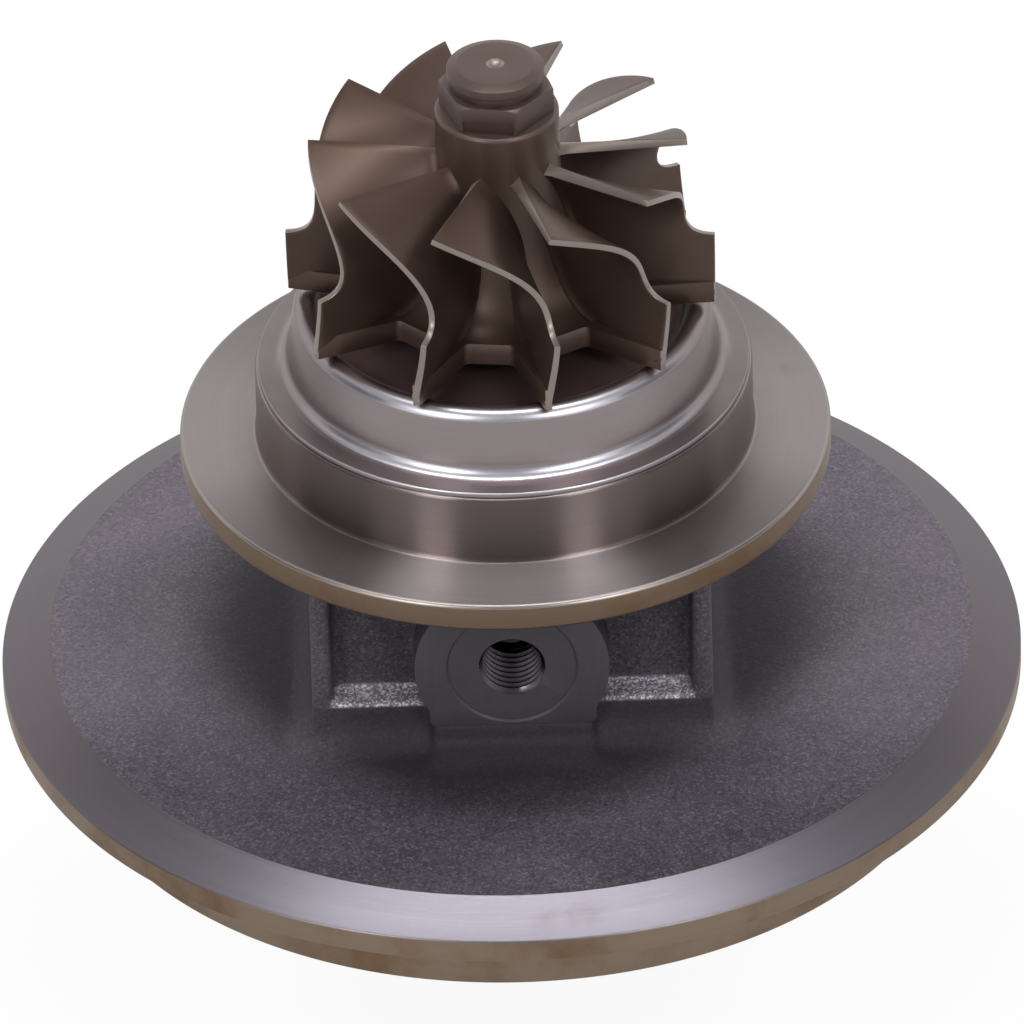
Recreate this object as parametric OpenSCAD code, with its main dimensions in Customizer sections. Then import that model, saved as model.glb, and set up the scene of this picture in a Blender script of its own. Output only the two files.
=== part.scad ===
// Turbocharger cartridge: bearing housing, floating bearings, seals and the rotor with both wheels.
// The rotor axis is Z, with the turbine wheel at the top. The origin is on the axis, in the plane
// of the large disc's underside, where the compressor cover seats. Millimetres.

/* [Compressor-side disc] */
// Outer radius of the disc
disc_r = 90; // [86:0.5:110]
// Height of the disc's plain rim
rim_h = 4.2; // [3:0.1:8]
// Radial width of the machined conical band inside the rim
band_w = 8.5; // [3:0.5:10]
// Rise of the conical band
band_rise = 3.9; // [2:0.1:6]
// Rise of the cast face from the band to the body
dish_rise = 2.2; // [1:0.1:5]
// Radius of the pilot that enters the compressor cover
spigot_r = 79; // [70:0.5:84]
// Depth of that pilot below the disc
spigot_h = 12.7; // [12:0.1:20]
// Edge break on machined corners
edge_break = 0.6; // [0.2:0.1:1]

/* [Turbine flange] */
// Outer radius of the turbine flange
flange_r = 57; // [52:0.5:66]
// Height of the flange's underside
flange_z = 46.7; // [46:0.1:50]
// Thickness of the flange
flange_h = 5; // [3:0.1:8]
// Radius of the pilot that enters the turbine housing
pilot_r = 43.5; // [42:0.1:48]
// Height of that pilot above the flange
pilot_h = 13; // [10:0.1:16]
// Radius of the nose that carries the shaft seal
nose_r = 17; // [14:0.5:22]
// Height of the seal nose above the pilot
nose_h = 6; // [3:0.1:8]

/* [Housing body] */
// Width of the body across the oil inlet
body_w = 70; // [60:0.5:80]
// Distance of the recessed front wall from the axis
wall_front = 32.7; // [29:0.1:34]
// Distance of the rear wall from the axis
wall_back = 31; // [28:0.5:36]
// Distance of the lower block's front face from the axis
ledge_front = 38; // [36:0.1:39.5]
// Height of the ledge on top of the lower block
ledge_z = 18.5; // [16:0.1:24]
// Thickness of the upright ribs beside the recessed walls
rib_w = 3.6; // [2:0.1:6]
// Rounding of the body's upright corners
body_corner_r = 4; // [2:0.5:10]
// Casting fillet where the core meets the disc and the flange
core_fillet = 6; // [3:0.5:8]
// Radius of the round core inside the body
core_r = 31; // [26:0.5:34]

/* [Oil inlet] */
// Height of the inlet axis
inlet_z = 27.4; // [27:0.1:29]
// Distance of the machined inlet face from the axis
inlet_face = 40.8; // [40:0.1:46]
// Radius of the inlet boss
inlet_boss_r = 17; // [14:0.1:18]
// Radius of the round spot face
spot_face_r = 11.2; // [8:0.1:13]
// Depth of the spot face
spot_face_depth = 0.5; // [0.2:0.1:1]
// Radius of the tapped hole, an M12 x 1.5 core hole
inlet_tap_r = 5.2; // [4:0.05:7]
// Depth of the tapped hole
inlet_tap_depth = 15; // [12:0.5:18]
// Width of the pedestal under the boss
pedestal_w = 29; // [20:0.5:34]
// Height of the pedestal's front edge
pedestal_z = 12.2; // [12:0.1:16]
// Radius of the two drillings that feed the bearings
feed_r = 1.5; // [1:0.1:2]

/* [Oil drain] */
// Height of the drain axis
drain_z = 30; // [29:0.1:31]
// Distance of the drain face from the axis
drain_face = 45; // [42:0.5:52]
// Radius of the drain bore
drain_bore_r = 10.5; // [8:0.1:12]
// Depth of the drain bore
drain_bore_depth = 21; // [14:0.5:21]
// Radius of the throat between the drain bore and the oil space
drain_throat_r = 5.5; // [4:0.1:5.5]
// Width of the drain pad
drain_pad_w = 58; // [54:0.5:62]
// Height of the drain pad
drain_pad_h = 30; // [26:0.5:31]
// Distance between the two drain bolts
drain_bolt_span = 40; // [36:0.5:42]
// Radius of a tapped drain bolt hole, an M8 core hole
drain_tap_r = 3.4; // [2.5:0.05:4]
// Depth of a drain bolt hole
drain_tap_depth = 13; // [10:0.5:15]

/* [Bearings] */
// Radius of the shaft's journals
journal_r = 5.7; // [5:0.05:6.2]
// Wall of a floating journal bearing
bearing_wall = 3.27; // [2.6:0.01:3.6]
// Length of a journal bearing
bearing_len = 10; // [8:0.5:11]
// Height of the compressor-end bearing's lower face
bearing_low_z = 17; // [16:0.1:18.5]
// Height of the turbine-end bearing's lower face
bearing_high_z = 45; // [44:0.1:46]
// Radial oil clearance between journal and bearing
journal_clear = 0.03; // [0.02:0.01:0.06]
// Radial oil clearance between bearing and housing
bearing_clear = 0.05; // [0.03:0.01:0.08]
// Thickness of a circlip
circlip_h = 1; // [0.8:0.1:1.2]
// Radial depth of a circlip's groove
circlip_groove = 0.95; // [0.6:0.05:1.2]

/* [Thrust and seal parts] */
// Thickness of the thrust bearing
thrust_h = 4.5; // [3.5:0.1:5]
// Radius of the thrust bearing
thrust_r = 22; // [20:0.1:24]
// Axial clearance on each side of the thrust bearing
thrust_clear = 0.1; // [0.05:0.01:0.15]
// Radius of the thrust flanges on the collar and slinger
collar_r = 13; // [11:0.1:14]
// Thickness of the thrust collar's flange
collar_h = 3.6; // [2.5:0.1:4]
// Thickness of the oil slinger's flange
slinger_h = 3; // [2:0.1:3.4]
// Radius of the slinger's sleeve
sleeve_r = 9; // [8:0.1:9.5]
// Radius of the thrust bearing's locating pins
pin_r = 1.5; // [1:0.1:2]
// Radius of the oil seal plate
plate_r = 32; // [30:0.5:36]
// Thickness of the oil seal plate
plate_h = 5; // [4:0.1:5.2]
// Thickness of the oil baffle
baffle_h = 1; // [0.6:0.1:1.2]
// Radius of the O-ring's section
o_ring_r = 0.85; // [0.7:0.05:1]
// Thickness of the snap ring
snap_h = 1.2; // [1:0.1:1.3]
// Width of a piston ring
ring_h = 1.6; // [1.2:0.1:2]
// Radial running clearance of the seal bores
seal_clear = 0.3; // [0.25:0.05:0.4]
// Clearance of loosely fitted parts
loose = 0.05; // [0.02:0.01:0.08]

/* [Rotor shaft] */
// Radius of the slim end that carries the compressor wheel
stub_r = 4.2; // [3.6:0.05:4.6]
// Radius of the sealing hub at the turbine end
hub_seal_r = 10; // [9.7:0.1:12]
// Height of the weld between shaft and turbine wheel
weld_z = 73; // [72:0.1:75]
// Clearance of the stack on the slim end
stack_clear = 0.01; // [0.01:0.005:0.03]

/* [Heat shield] */
// Sheet thickness
shield_t = 1; // [0.8:0.05:1.2]
// Outer radius of the shield's flange
shield_flange_r = 43; // [41.5:0.1:44]
// Radius of the upright wall where it leaves the flange
shield_wall_r = 37.5; // [36:0.1:39]
// Draft of the wall, from its foot to its top
shield_draft = 0.9; // [0:0.1:1.5]
// Height of the rounded lip above the pilot
shield_h = 13.1; // [12:0.1:14]
// Depth of the dished floor below the lip
shield_dish = 3.4; // [2:0.1:4]
// Radius of the shaft hole in the floor
shield_hole_r = 13; // [12:0.1:15]
// Outer radius of the rolled lip
lip_r = 1.9; // [1.6:0.1:2.4]

/* [Turbine wheel] */
// Number of blades
turbine_blades = 10; // [8:1:12]
// Radius of the inducer
inducer_r = 37.4; // [36:0.1:40]
// Height of the wheel's back face
wheel_back_z = 78.6; // [78.5:0.1:80]
// Height of the inducer edges
inducer_h = 12.8; // [10:0.1:15]
// Radius of the exducer
exducer_r = 32.9; // [31:0.1:35]
// Height of the blades from the back face to the exducer
blade_h = 31.6; // [28:0.1:36]
// Angle of the first blade's foot about the axis
blade_phase = -78.9; // [-96:0.1:-60]
// Lean of the inducer half
blade_lean = 11.3; // [0:0.1:15]
// Turn of the exducer half
blade_turn = 43.5; // [30:0.1:50]
// Extra turn of the exducer at the hub
hub_turn = 8; // [0:0.1:12]
// Blade thickness at the tip
blade_tip_t = 1.3; // [1:0.05:2]
// Blade thickness at the root
blade_root_t = 2.2; // [1.5:0.05:3]
// Thickness of the scalloped back disc
star_h = 4.1; // [3:0.1:6]
// Radius of the scallops' floors
scallop_r = 22.5; // [18:0.1:28]
// Width of a scallop's floor
scallop_w = 8; // [4:0.1:9]
// Radius of the hub at the exducer
turbine_hub_r = 10.8; // [10:0.1:13]
// Height of the plain hub above the exducer
hub_top_h = 7.3; // [4:0.1:10]
// Radius over the corners of the nose hexagon
hex_r = 10.1; // [9:0.1:11]
// Height of the nose hexagon
hex_h = 5; // [3:0.1:8]
// Angle of the hexagon's first corner
hex_phase = -70.1; // [-90:0.1:-30]
// Radius of the neck above the hexagon
neck_r = 7.8; // [6:0.1:8.5]
// Height of the neck
neck_h = 1.5; // [0.8:0.1:3]
// Radius of the round cap
cap_r = 8.5; // [7:0.1:10]
// Height of the round cap
cap_h = 2.4; // [1:0.1:4]

/* [Compressor wheel] */
// Number of full blades, with as many splitters between them
compressor_blades = 7; // [5:1:8]
// Outer radius of the compressor wheel
impeller_r = 43; // [40:0.1:44]
// Radius of the compressor inducer
impeller_eye_r = 30; // [26:0.1:33]
// Length of the blades along the axis
impeller_h = 33; // [28:0.1:36]
// Height of the blades at the outer edge
impeller_tip_h = 5.2; // [4:0.1:7]
// Thickness of the wheel's back disc at its edge
impeller_disc_h = 2.4; // [1.8:0.1:3]
// Radius of the hub at the nose
impeller_hub_r = 9; // [8:0.1:11]
// Turn of a compressor blade from its inlet to its outlet
impeller_turn = 58; // [40:0.5:75]
// Thickness of a compressor blade at its tip
impeller_tip_t = 0.9; // [0.7:0.05:1.5]
// Thickness of a compressor blade at its root
impeller_root_t = 1.8; // [1.2:0.05:2.5]
// Radial room between the wheel and its recess
impeller_clear = 1.2; // [0.8:0.1:2]
// Height of the locknut
nut_h = 7; // [5:0.1:9]
// Radius over the corners of the locknut
nut_r = 8; // [7:0.1:9]

/* [Hidden] */
$fn = 96;
overlap = 1;
cast_iron = [0.36, 0.34, 0.36];
steel = [0.62, 0.60, 0.59];
wheel_alloy = [0.33, 0.27, 0.23];
bronze = [0.72, 0.53, 0.28];
light_alloy = [0.78, 0.79, 0.80];
black_rubber = [0.08, 0.08, 0.08];

// Heights along the axis
band_z = rim_h + band_rise;
dish_z = band_z + dish_rise;
flange_top = flange_z + flange_h;
pilot_top = flange_top + pilot_h;
nose_top = pilot_top + nose_h;
band_r = disc_r - band_w;

// Bearing bore, seen from the shaft outwards
bearing_in_r = journal_r + journal_clear;
bearing_out_r = bearing_in_r + bearing_wall;
bore_r = bearing_out_r + bearing_clear;
circlip_gap = 0.3;
circlip_room = circlip_h + 2 * loose;
groove_r = bore_r + circlip_groove;
circlip_in_r = bore_r - 1.4;
circlip_zs = [
    bearing_low_z - circlip_gap - circlip_h,
    bearing_low_z + bearing_len + circlip_gap,
    bearing_high_z - circlip_gap - circlip_h,
    bearing_high_z + bearing_len + circlip_gap];

// Turbine-end seal
seal_bore_r = hub_seal_r + seal_clear;
seal_bore_z = bearing_high_z + bearing_len + circlip_gap + circlip_h + 2;
hub_seal_z = seal_bore_z + 1.2;
ring_depth = 1.8;
turbine_ring_z = pilot_top;

// Thrust group and compressor-end seal, from the thrust face downwards
thrust_top = 8;
thrust_low = thrust_top - thrust_h;
collar_low = thrust_top + thrust_clear;
collar_top = collar_low + collar_h;
slinger_top = thrust_low - thrust_clear;
slinger_low = slinger_top - slinger_h;
collar_sleeve_r = sleeve_r - 1.1;
plate_top = -2.6;
plate_low = plate_top - plate_h;
plate_bore_r = sleeve_r + seal_clear;
plate_pocket_r = plate_r + loose;
snap_low = plate_low - snap_h;
snap_groove_r = plate_pocket_r + 1.4;
pocket_z = snap_low - 0.6;
impeller_back_z = pocket_z - 0.9;
oil_room_r = plate_r - 5;
collar_room_r = collar_r + 2;
pin_span = 2 * (thrust_r - 4);
compressor_ring_z = (plate_top + plate_low) / 2 - ring_h / 2;
impeller_recess_r = impeller_r + impeller_clear;

// Drain passages
drain_room_r = bore_r + 6;
drain_room_low = circlip_zs[1] + circlip_h + 2;
drain_room_high = circlip_zs[2] - 2;
drain_throat_z = (drain_room_low + drain_room_high) / 2;
drain_link_r = 5;
drain_link_y = 18;

// Compressor wheel and nut
impeller_nose_z = impeller_back_z - impeller_disc_h - impeller_h;
nut_z = impeller_nose_z - nut_h;
shaft_end = nut_z - 2.7;

// Turbine wheel heights
star_top = wheel_back_z + star_h;
exducer_z = wheel_back_z + blade_h;
hub_top = exducer_z + hub_top_h;
hex_top = hub_top + hex_h;
neck_top = hex_top + neck_h;
cap_top = neck_top + cap_h;
core_disc_r = scallop_r - 0.9;

// Shapes that several pieces use

// A plain ring between two radii, standing on height z
module ring(outer_r, inner_r, z, h)
    translate([0, 0, z])
        difference() {
            cylinder(r = outer_r, h = h);
            translate([0, 0, -overlap]) cylinder(r = inner_r, h = h + 2 * overlap);
        }

// A round hole between two heights
module hole(r, low, high)
    translate([0, 0, low]) cylinder(r = r, h = high - low);

// A spring ring: a plain ring with a gap on the +Y side
module open_ring(outer_r, inner_r, z, h, gap)
    difference() {
        ring(outer_r, inner_r, z, h);
        translate([-gap / 2, 0, z - overlap]) cube([gap, outer_r + overlap, h + 2 * overlap]);
    }

// A rectangle with round corners, from corner a to corner b
module round_rect(a, b, r) {
    translate([a.x + r, a.y]) square([b.x - a.x - 2 * r, b.y - a.y]);
    translate([a.x, a.y + r]) square([b.x - a.x, b.y - a.y - 2 * r]);
    for (x = [a.x + r, b.x - r], y = [a.y + r, b.y - r])
        translate([x, y]) circle(r);
}

// The concave corner of a fillet, opening towards +X and the given vertical side
module fillet_corner(r, side)
    difference() {
        translate([-overlap, side > 0 ? -overlap : -r]) square(r + overlap);
        translate([r, side * r]) circle(r);
    }

function lerp(a, b, t) = a + (b - a) * t;
function bezier(p, t) =
    p[0] * pow(1 - t, 3) + p[1] * 3 * t * pow(1 - t, 2) + p[2] * 3 * t * t * (1 - t) + p[3] * t * t * t;
function bezier_points(p, n) = [for (i = [0:n]) bezier(p, i / n)];
function arc(c, r, from, to, n) =
    [for (i = [0:n]) let (a = lerp(from, to, i / n)) [c.x + r * cos(a), c.y + r * sin(a)]];
function reversed(list) = [for (i = [len(list) - 1:-1:0]) list[i]];
function unit(v) = v / norm(v);

// A blade between a hub curve and a shroud curve, each a function of s from inlet to outlet.
// turn gives the angle about the axis of the point at height z, s along and t across the blade.
function blade_point(hub, shroud, turn, s, t) =
    let (p = lerp(hub(s), shroud(s), t), a = turn(p.y, s, t)) [p.x * cos(a), p.x * sin(a), p.y];

function blade_normal(hub, shroud, turn, s, t) =
    let (
        d = 0.004,
        along = blade_point(hub, shroud, turn, s + d, t) - blade_point(hub, shroud, turn, s - d, t),
        across = blade_point(hub, shroud, turn, s, t + d) - blade_point(hub, shroud, turn, s, t - d))
    unit(cross(along, across));

module blade(hub, shroud, turn, root_t, tip_t, start, steps, rows) {
    cols = rows + 1;
    side_count = (steps + 1) * cols;
    points = [
        for (side = [-1, 1], i = [0:steps], j = [0:rows])
            let (
                s = lerp(start, 1, i / steps),
                t = j / rows,
                half = lerp(root_t, tip_t, t) / 2)
            blade_point(hub, shroud, turn, s, t) + side * half * blade_normal(hub, shroud, turn, s, t)];
    function at(side, i, j) = side * side_count + i * cols + j;
    rim = concat(
        [for (i = [0:steps - 1]) [i, 0]], [for (j = [0:rows - 1]) [steps, j]],
        [for (i = [steps:-1:1]) [i, rows]], [for (j = [rows:-1:1]) [0, j]]);
    faces = concat(
        [for (i = [0:steps - 1], j = [0:rows - 1], k = [0, 1])
            k == 0 ? [at(0, i, j), at(0, i + 1, j), at(0, i + 1, j + 1)]
                   : [at(0, i, j), at(0, i + 1, j + 1), at(0, i, j + 1)]],
        [for (i = [0:steps - 1], j = [0:rows - 1], k = [0, 1])
            k == 0 ? [at(1, i, j), at(1, i + 1, j + 1), at(1, i + 1, j)]
                   : [at(1, i, j), at(1, i, j + 1), at(1, i + 1, j + 1)]],
        [for (e = [0:len(rim) - 1], k = [0, 1])
            let (a = rim[e], b = rim[(e + 1) % len(rim)])
            k == 0 ? [at(0, a[0], a[1]), at(1, a[0], a[1]), at(1, b[0], b[1])]
                   : [at(0, a[0], a[1]), at(1, b[0], b[1]), at(0, b[0], b[1])]]);
    polyhedron(points, faces);
}

// Bearing housing

// Disc, core, turbine flange, pilot and seal nose, as one turned outline
module housing_turned()
    rotate_extrude() {
        polygon([
            [0, -spigot_h],
            [spigot_r - edge_break, -spigot_h],
            [spigot_r, edge_break - spigot_h],
            [spigot_r, 0],
            [disc_r - edge_break, 0],
            [disc_r, edge_break],
            [disc_r, rim_h],
            [band_r, band_z],
            [core_r + core_fillet, dish_z],
            [core_r, dish_z],
            [core_r, flange_z],
            [flange_r - edge_break, flange_z],
            [flange_r, flange_z + edge_break],
            [flange_r, flange_top - edge_break],
            [flange_r - edge_break, flange_top],
            [pilot_r, flange_top],
            [pilot_r, pilot_top - edge_break],
            [pilot_r - edge_break, pilot_top],
            [nose_r, pilot_top],
            [nose_r, nose_top - edge_break],
            [nose_r - edge_break, nose_top],
            [0, nose_top]]);
        translate([core_r, dish_z]) fillet_corner(core_fillet, 1);
        translate([core_r, flange_z]) fillet_corner(core_fillet, -1);
    }

// The block between disc and flange: recessed front walls, upright ribs and a ledge below them
module housing_body() {
    foot_z = band_z - overlap;
    half = body_w / 2;
    translate([0, 0, foot_z])
        linear_extrude(flange_z + overlap - foot_z)
            round_rect([-half, -wall_front], [half, wall_back], body_corner_r);
    translate([0, 0, foot_z])
        linear_extrude(ledge_z - foot_z)
            round_rect([-half, -ledge_front], [half, wall_back], body_corner_r);
    for (x = [-half, half - rib_w])
        translate([x, 0, foot_z])
            linear_extrude(flange_z + overlap - foot_z)
                round_rect([0, -ledge_front], [rib_w, body_corner_r - wall_front], rib_w / 2 - loose);
}

// The round oil-inlet boss on its pedestal
module inlet_boss() {
    boss_len = inlet_face - core_r + core_fillet;
    toe = dish_z - band_z + core_fillet;
    translate([0, -inlet_face, inlet_z])
        rotate([-90, 0, 0]) cylinder(r = inlet_boss_r, h = boss_len);
    translate([-pedestal_w / 2, 0, 0])
        rotate([90, 0, 90])
            linear_extrude(pedestal_w)
                polygon([
                    [boss_len - inlet_face, band_z],
                    [-inlet_face - toe, band_z],
                    [-inlet_face, pedestal_z],
                    [-inlet_face, inlet_z],
                    [boss_len - inlet_face, inlet_z]]);
}

// The drain pad behind the body
module drain_pad()
    translate([0, drain_face, drain_z])
        rotate([90, 0, 0])
            linear_extrude(drain_face - wall_back + overlap)
                round_rect(
                    [-drain_pad_w / 2, -drain_pad_h / 2],
                    [drain_pad_w / 2, drain_pad_h / 2],
                    body_corner_r);

// A drilling from the inlet to the middle of one bearing
module feed_drilling(z) {
    start = [0, inlet_tap_depth - inlet_face, inlet_z];
    run = [0, -bore_r + overlap, z + bearing_len / 2] - start;
    translate(start)
        rotate([-atan2(run.y, run.z), 0, 0])
            cylinder(r = feed_r, h = norm(run));
}

module housing_holes() {
    hole(bore_r, thrust_top - overlap, seal_bore_z + overlap);
    hole(seal_bore_r, seal_bore_z, nose_top + overlap);
    for (z = circlip_zs) hole(groove_r, z - loose, z - loose + circlip_room);
    hole(drain_room_r, drain_room_low, drain_room_high);
    hole(collar_room_r, thrust_top - overlap, collar_top + 1);
    hole(oil_room_r, plate_top - overlap, thrust_top);
    hole(plate_pocket_r, pocket_z - overlap, plate_top);
    hole(snap_groove_r, snap_low, plate_low);
    hole(impeller_recess_r, -spigot_h - overlap, pocket_z);
    translate([0, drain_link_y, 0]) hole(drain_link_r, thrust_top - overlap, drain_throat_z);
    for (x = [-pin_span / 2, pin_span / 2])
        translate([x, 0, 0]) hole(pin_r + loose, thrust_top - overlap, thrust_top + thrust_h);
    translate([0, -inlet_face - overlap, inlet_z])
        rotate([-90, 0, 0]) {
            cylinder(r = spot_face_r, h = spot_face_depth + overlap);
            cylinder(r = inlet_tap_r, h = inlet_tap_depth + overlap);
        }
    for (z = [bearing_low_z, bearing_high_z]) feed_drilling(z);
    translate([0, drain_face + overlap, drain_z])
        rotate([90, 0, 0]) {
            cylinder(r = drain_bore_r, h = drain_bore_depth + overlap);
            for (x = [-drain_bolt_span / 2, drain_bolt_span / 2])
                translate([x, 0, 0]) cylinder(r = drain_tap_r, h = drain_tap_depth + overlap);
        }
    translate([0, drain_face - drain_bore_depth + overlap, drain_throat_z])
        rotate([90, 0, 0])
            cylinder(r = drain_throat_r, h = drain_face - drain_bore_depth + overlap - bore_r);
}

module bearing_housing()
    color(cast_iron)
        difference() {
            union() {
                housing_turned();
                housing_body();
                inlet_boss();
                drain_pad();
            }
            housing_holes();
        }

// Heat shield: a pressed cup with a rolled lip and a dished floor
module heat_shield() {
    foot = pilot_top;
    lip_z = foot + shield_h;
    bend = 1.2;
    top_r = shield_wall_r - shield_draft;
    lip_c = [top_r - lip_r, lip_z - lip_r];
    floor_z = lip_z - shield_dish;
    slope_r = lip_c.x - lip_r - 1.5;
    outer = concat(
        [[shield_flange_r, foot], [shield_flange_r, foot + shield_t]],
        arc([shield_wall_r + bend, foot + shield_t + bend], bend, 270, 180, 5),
        arc(lip_c, lip_r, 0, 150, 8),
        [[slope_r, floor_z], [shield_hole_r, floor_z]]);
    inner = concat(
        [[shield_hole_r, floor_z - shield_t], [slope_r - shield_t / 3, floor_z - shield_t]],
        arc(lip_c, lip_r - shield_t, 150, 0, 8),
        [[shield_wall_r - shield_t, foot + shield_t + bend], [shield_wall_r - shield_t, foot]]);
    color(steel)
        rotate_extrude() polygon(concat(outer, inner));
}

// Turbine wheel

// The wheel's turned core: weld boss, back disc, flared hub and nose
module turbine_core() {
    flare = bezier_points(
        [[core_disc_r, star_top - loose], [turbine_hub_r + 3.5, star_top + 1.7],
         [turbine_hub_r, star_top + 12], [turbine_hub_r, exducer_z]], 10);
    rotate_extrude()
        polygon(concat(
            [[0, weld_z], [hub_seal_r, weld_z], [hub_seal_r, wheel_back_z], [core_disc_r, wheel_back_z]],
            flare,
            [[turbine_hub_r, hub_top - edge_break], [turbine_hub_r - edge_break, hub_top],
             [neck_r, hub_top], [neck_r, neck_top], [cap_r, neck_top],
             [cap_r, cap_top - edge_break], [cap_r - 3 * edge_break, cap_top], [0, cap_top]]));
    translate([0, 0, hub_top - overlap])
        rotate(hex_phase) cylinder(r = hex_r, h = hex_h + overlap, $fn = 6);
}

// The scalloped back disc: arms under the blades, with flat floors between them
module turbine_star() {
    pitch = 360 / turbine_blades;
    floor_half = asin(scallop_w / 2 / scallop_r);
    tip_half = asin(blade_tip_t * 0.6 / inducer_r);
    translate([0, 0, wheel_back_z])
        linear_extrude(star_h)
            polygon([
                for (k = [0:turbine_blades - 1])
                    let (a = blade_phase + k * pitch, m = a + pitch / 2)
                    for (q = [[inducer_r, a - tip_half], [inducer_r, a + tip_half],
                              [scallop_r, m - floor_half], [scallop_r, m + floor_half]])
                        q[0] * [cos(q[1]), sin(q[1])]]);
}

// Blade curves in the plane of the axis, as radius and height
function turbine_root(s) =
    bezier(
        [[inducer_r, wheel_back_z + star_h / 3], [turbine_hub_r + 7, wheel_back_z + star_h / 2],
         [turbine_hub_r - 2.5, wheel_back_z + 7.3], [turbine_hub_r - 2.5, exducer_z - 1.6]], s);

function turbine_shroud(s) =
    let (
        bend = 0.36,
        top = wheel_back_z + inducer_h,
        waist = [exducer_r - 0.7, top + 5.7])
    s < bend
        ? bezier(
            [[inducer_r, top], [inducer_r - 3.6, top + 0.1], [waist.x, top + 1.4], waist], s / bend)
        : bezier(
            [waist, [waist.x, top + 9], [waist.x + 0.2, top + 14], [exducer_r, exducer_z]],
            (s - bend) / (1 - bend));

function turbine_turn(z, s, t) =
    let (v = (z - wheel_back_z) / blade_h)
    blade_lean * v - blade_turn * pow(v, 4) - hub_turn * (1 - t) * v * v;

module turbine_wheel()
    color(wheel_alloy)
        difference() {
            union() {
                turbine_core();
                turbine_star();
                for (k = [0:turbine_blades - 1])
                    rotate(blade_phase + k * 360 / turbine_blades)
                        blade(
                            function (s) turbine_root(s),
                            function (s) turbine_shroud(s),
                            function (z, s, t) turbine_turn(z, s, t),
                            blade_root_t, blade_tip_t, 0, 14, 4);
            }
            translate([0, 0, cap_top - 1.5]) cylinder(r1 = 0, r2 = 1.6, h = 2);
        }

// Shaft with journals, sealing hub and the slim end for the compressor wheel
module rotor_shaft() {
    groove_low = turbine_ring_z - loose;
    groove_high = turbine_ring_z + ring_h + loose;
    groove_floor = hub_seal_r - ring_depth;
    waist_r = journal_r - 0.5;
    waist_low = bearing_low_z + bearing_len + 3;
    waist_high = bearing_high_z - 3;
    color(steel)
        rotate_extrude()
            polygon([
                [0, shaft_end], [stub_r - edge_break, shaft_end], [stub_r, shaft_end + edge_break],
                [stub_r, collar_top], [journal_r, collar_top],
                [journal_r, waist_low], [waist_r, waist_low + 1],
                [waist_r, waist_high - 1], [journal_r, waist_high],
                [journal_r, hub_seal_z], [hub_seal_r - edge_break, hub_seal_z],
                [hub_seal_r, hub_seal_z + edge_break], [hub_seal_r, groove_low],
                [groove_floor, groove_low], [groove_floor, groove_high],
                [hub_seal_r, groove_high], [hub_seal_r, weld_z], [0, weld_z]]);
}

// Seals and bearings

module turbine_piston_ring()
    color(steel)
        open_ring(seal_bore_r - 0.02, hub_seal_r - ring_depth + seal_clear, turbine_ring_z, ring_h, 0.8);

module compressor_piston_ring()
    color(steel)
        open_ring(
            plate_bore_r - 0.02, sleeve_r - ring_depth + seal_clear, compressor_ring_z, ring_h, 0.8);

// A floating bearing with six oil holes round its middle
module journal_bearing(z)
    color(bronze)
        difference() {
            ring(bearing_out_r, bearing_in_r, z, bearing_len);
            for (a = [0:60:300])
                translate([0, 0, z + bearing_len / 2])
                    rotate([0, 90, a]) cylinder(r = feed_r, h = bearing_out_r + overlap);
        }

module journal_bearing_turbine_end() journal_bearing(bearing_high_z);
module journal_bearing_compressor_end() journal_bearing(bearing_low_z);

module bearing_circlip(index)
    color(steel)
        open_ring(groove_r - loose, circlip_in_r, circlip_zs[index], circlip_h, 5);

// Thrust bearing with a drain cut-out and four oil grooves in each face
module thrust_bearing()
    color(bronze)
        difference() {
            ring(thrust_r, collar_sleeve_r + seal_clear, thrust_low, thrust_h);
            for (x = [-pin_span / 2, pin_span / 2])
                translate([x, 0, 0])
                    hole(pin_r + loose, thrust_low - overlap, thrust_top + overlap);
            translate([0, drain_link_y, 0])
                hole(drain_link_r, thrust_low - overlap, thrust_top + overlap);
            for (a = [45:90:315], z = [thrust_low - overlap, thrust_top - 0.4])
                rotate(a)
                    translate([0, -0.8, z]) cube([collar_r, 1.6, overlap + 0.4]);
        }

module thrust_pin(side)
    color(steel)
        translate([side * pin_span / 2, 0, 0]) hole(pin_r, thrust_low, thrust_top + thrust_h - loose);

// Collar on the turbine side of the thrust bearing, with the sleeve that passes through it
module thrust_collar()
    color(steel)
        difference() {
            union() {
                hole(collar_r, collar_low, collar_top);
                hole(collar_sleeve_r, slinger_top, collar_low + overlap);
            }
            hole(stub_r + stack_clear, slinger_top - overlap, collar_top + overlap);
        }

// Slinger on the compressor side, with the sleeve that carries the piston ring
module oil_slinger() {
    groove_low = compressor_ring_z - loose;
    groove_high = compressor_ring_z + ring_h + loose;
    bore = stub_r + stack_clear;
    color(steel)
        rotate_extrude()
            polygon([
                [bore, impeller_back_z], [sleeve_r, impeller_back_z],
                [sleeve_r, groove_low], [sleeve_r - ring_depth, groove_low],
                [sleeve_r - ring_depth, groove_high], [sleeve_r, groove_high],
                [sleeve_r, slinger_low], [collar_r, slinger_low],
                [collar_r, slinger_top], [bore, slinger_top]]);
}

// Pressed baffle that keeps thrown oil off the seal, with a bent drain tongue
module oil_baffle() {
    tongue_w = 12;
    tongue_y = sleeve_r + 8;
    color(steel)
        union() {
            ring(oil_room_r - loose, sleeve_r + 2, plate_top, baffle_h);
            translate([-tongue_w / 2, tongue_y, plate_top])
                cube([tongue_w, baffle_h, baffle_h + slinger_h]);
        }
}

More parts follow.
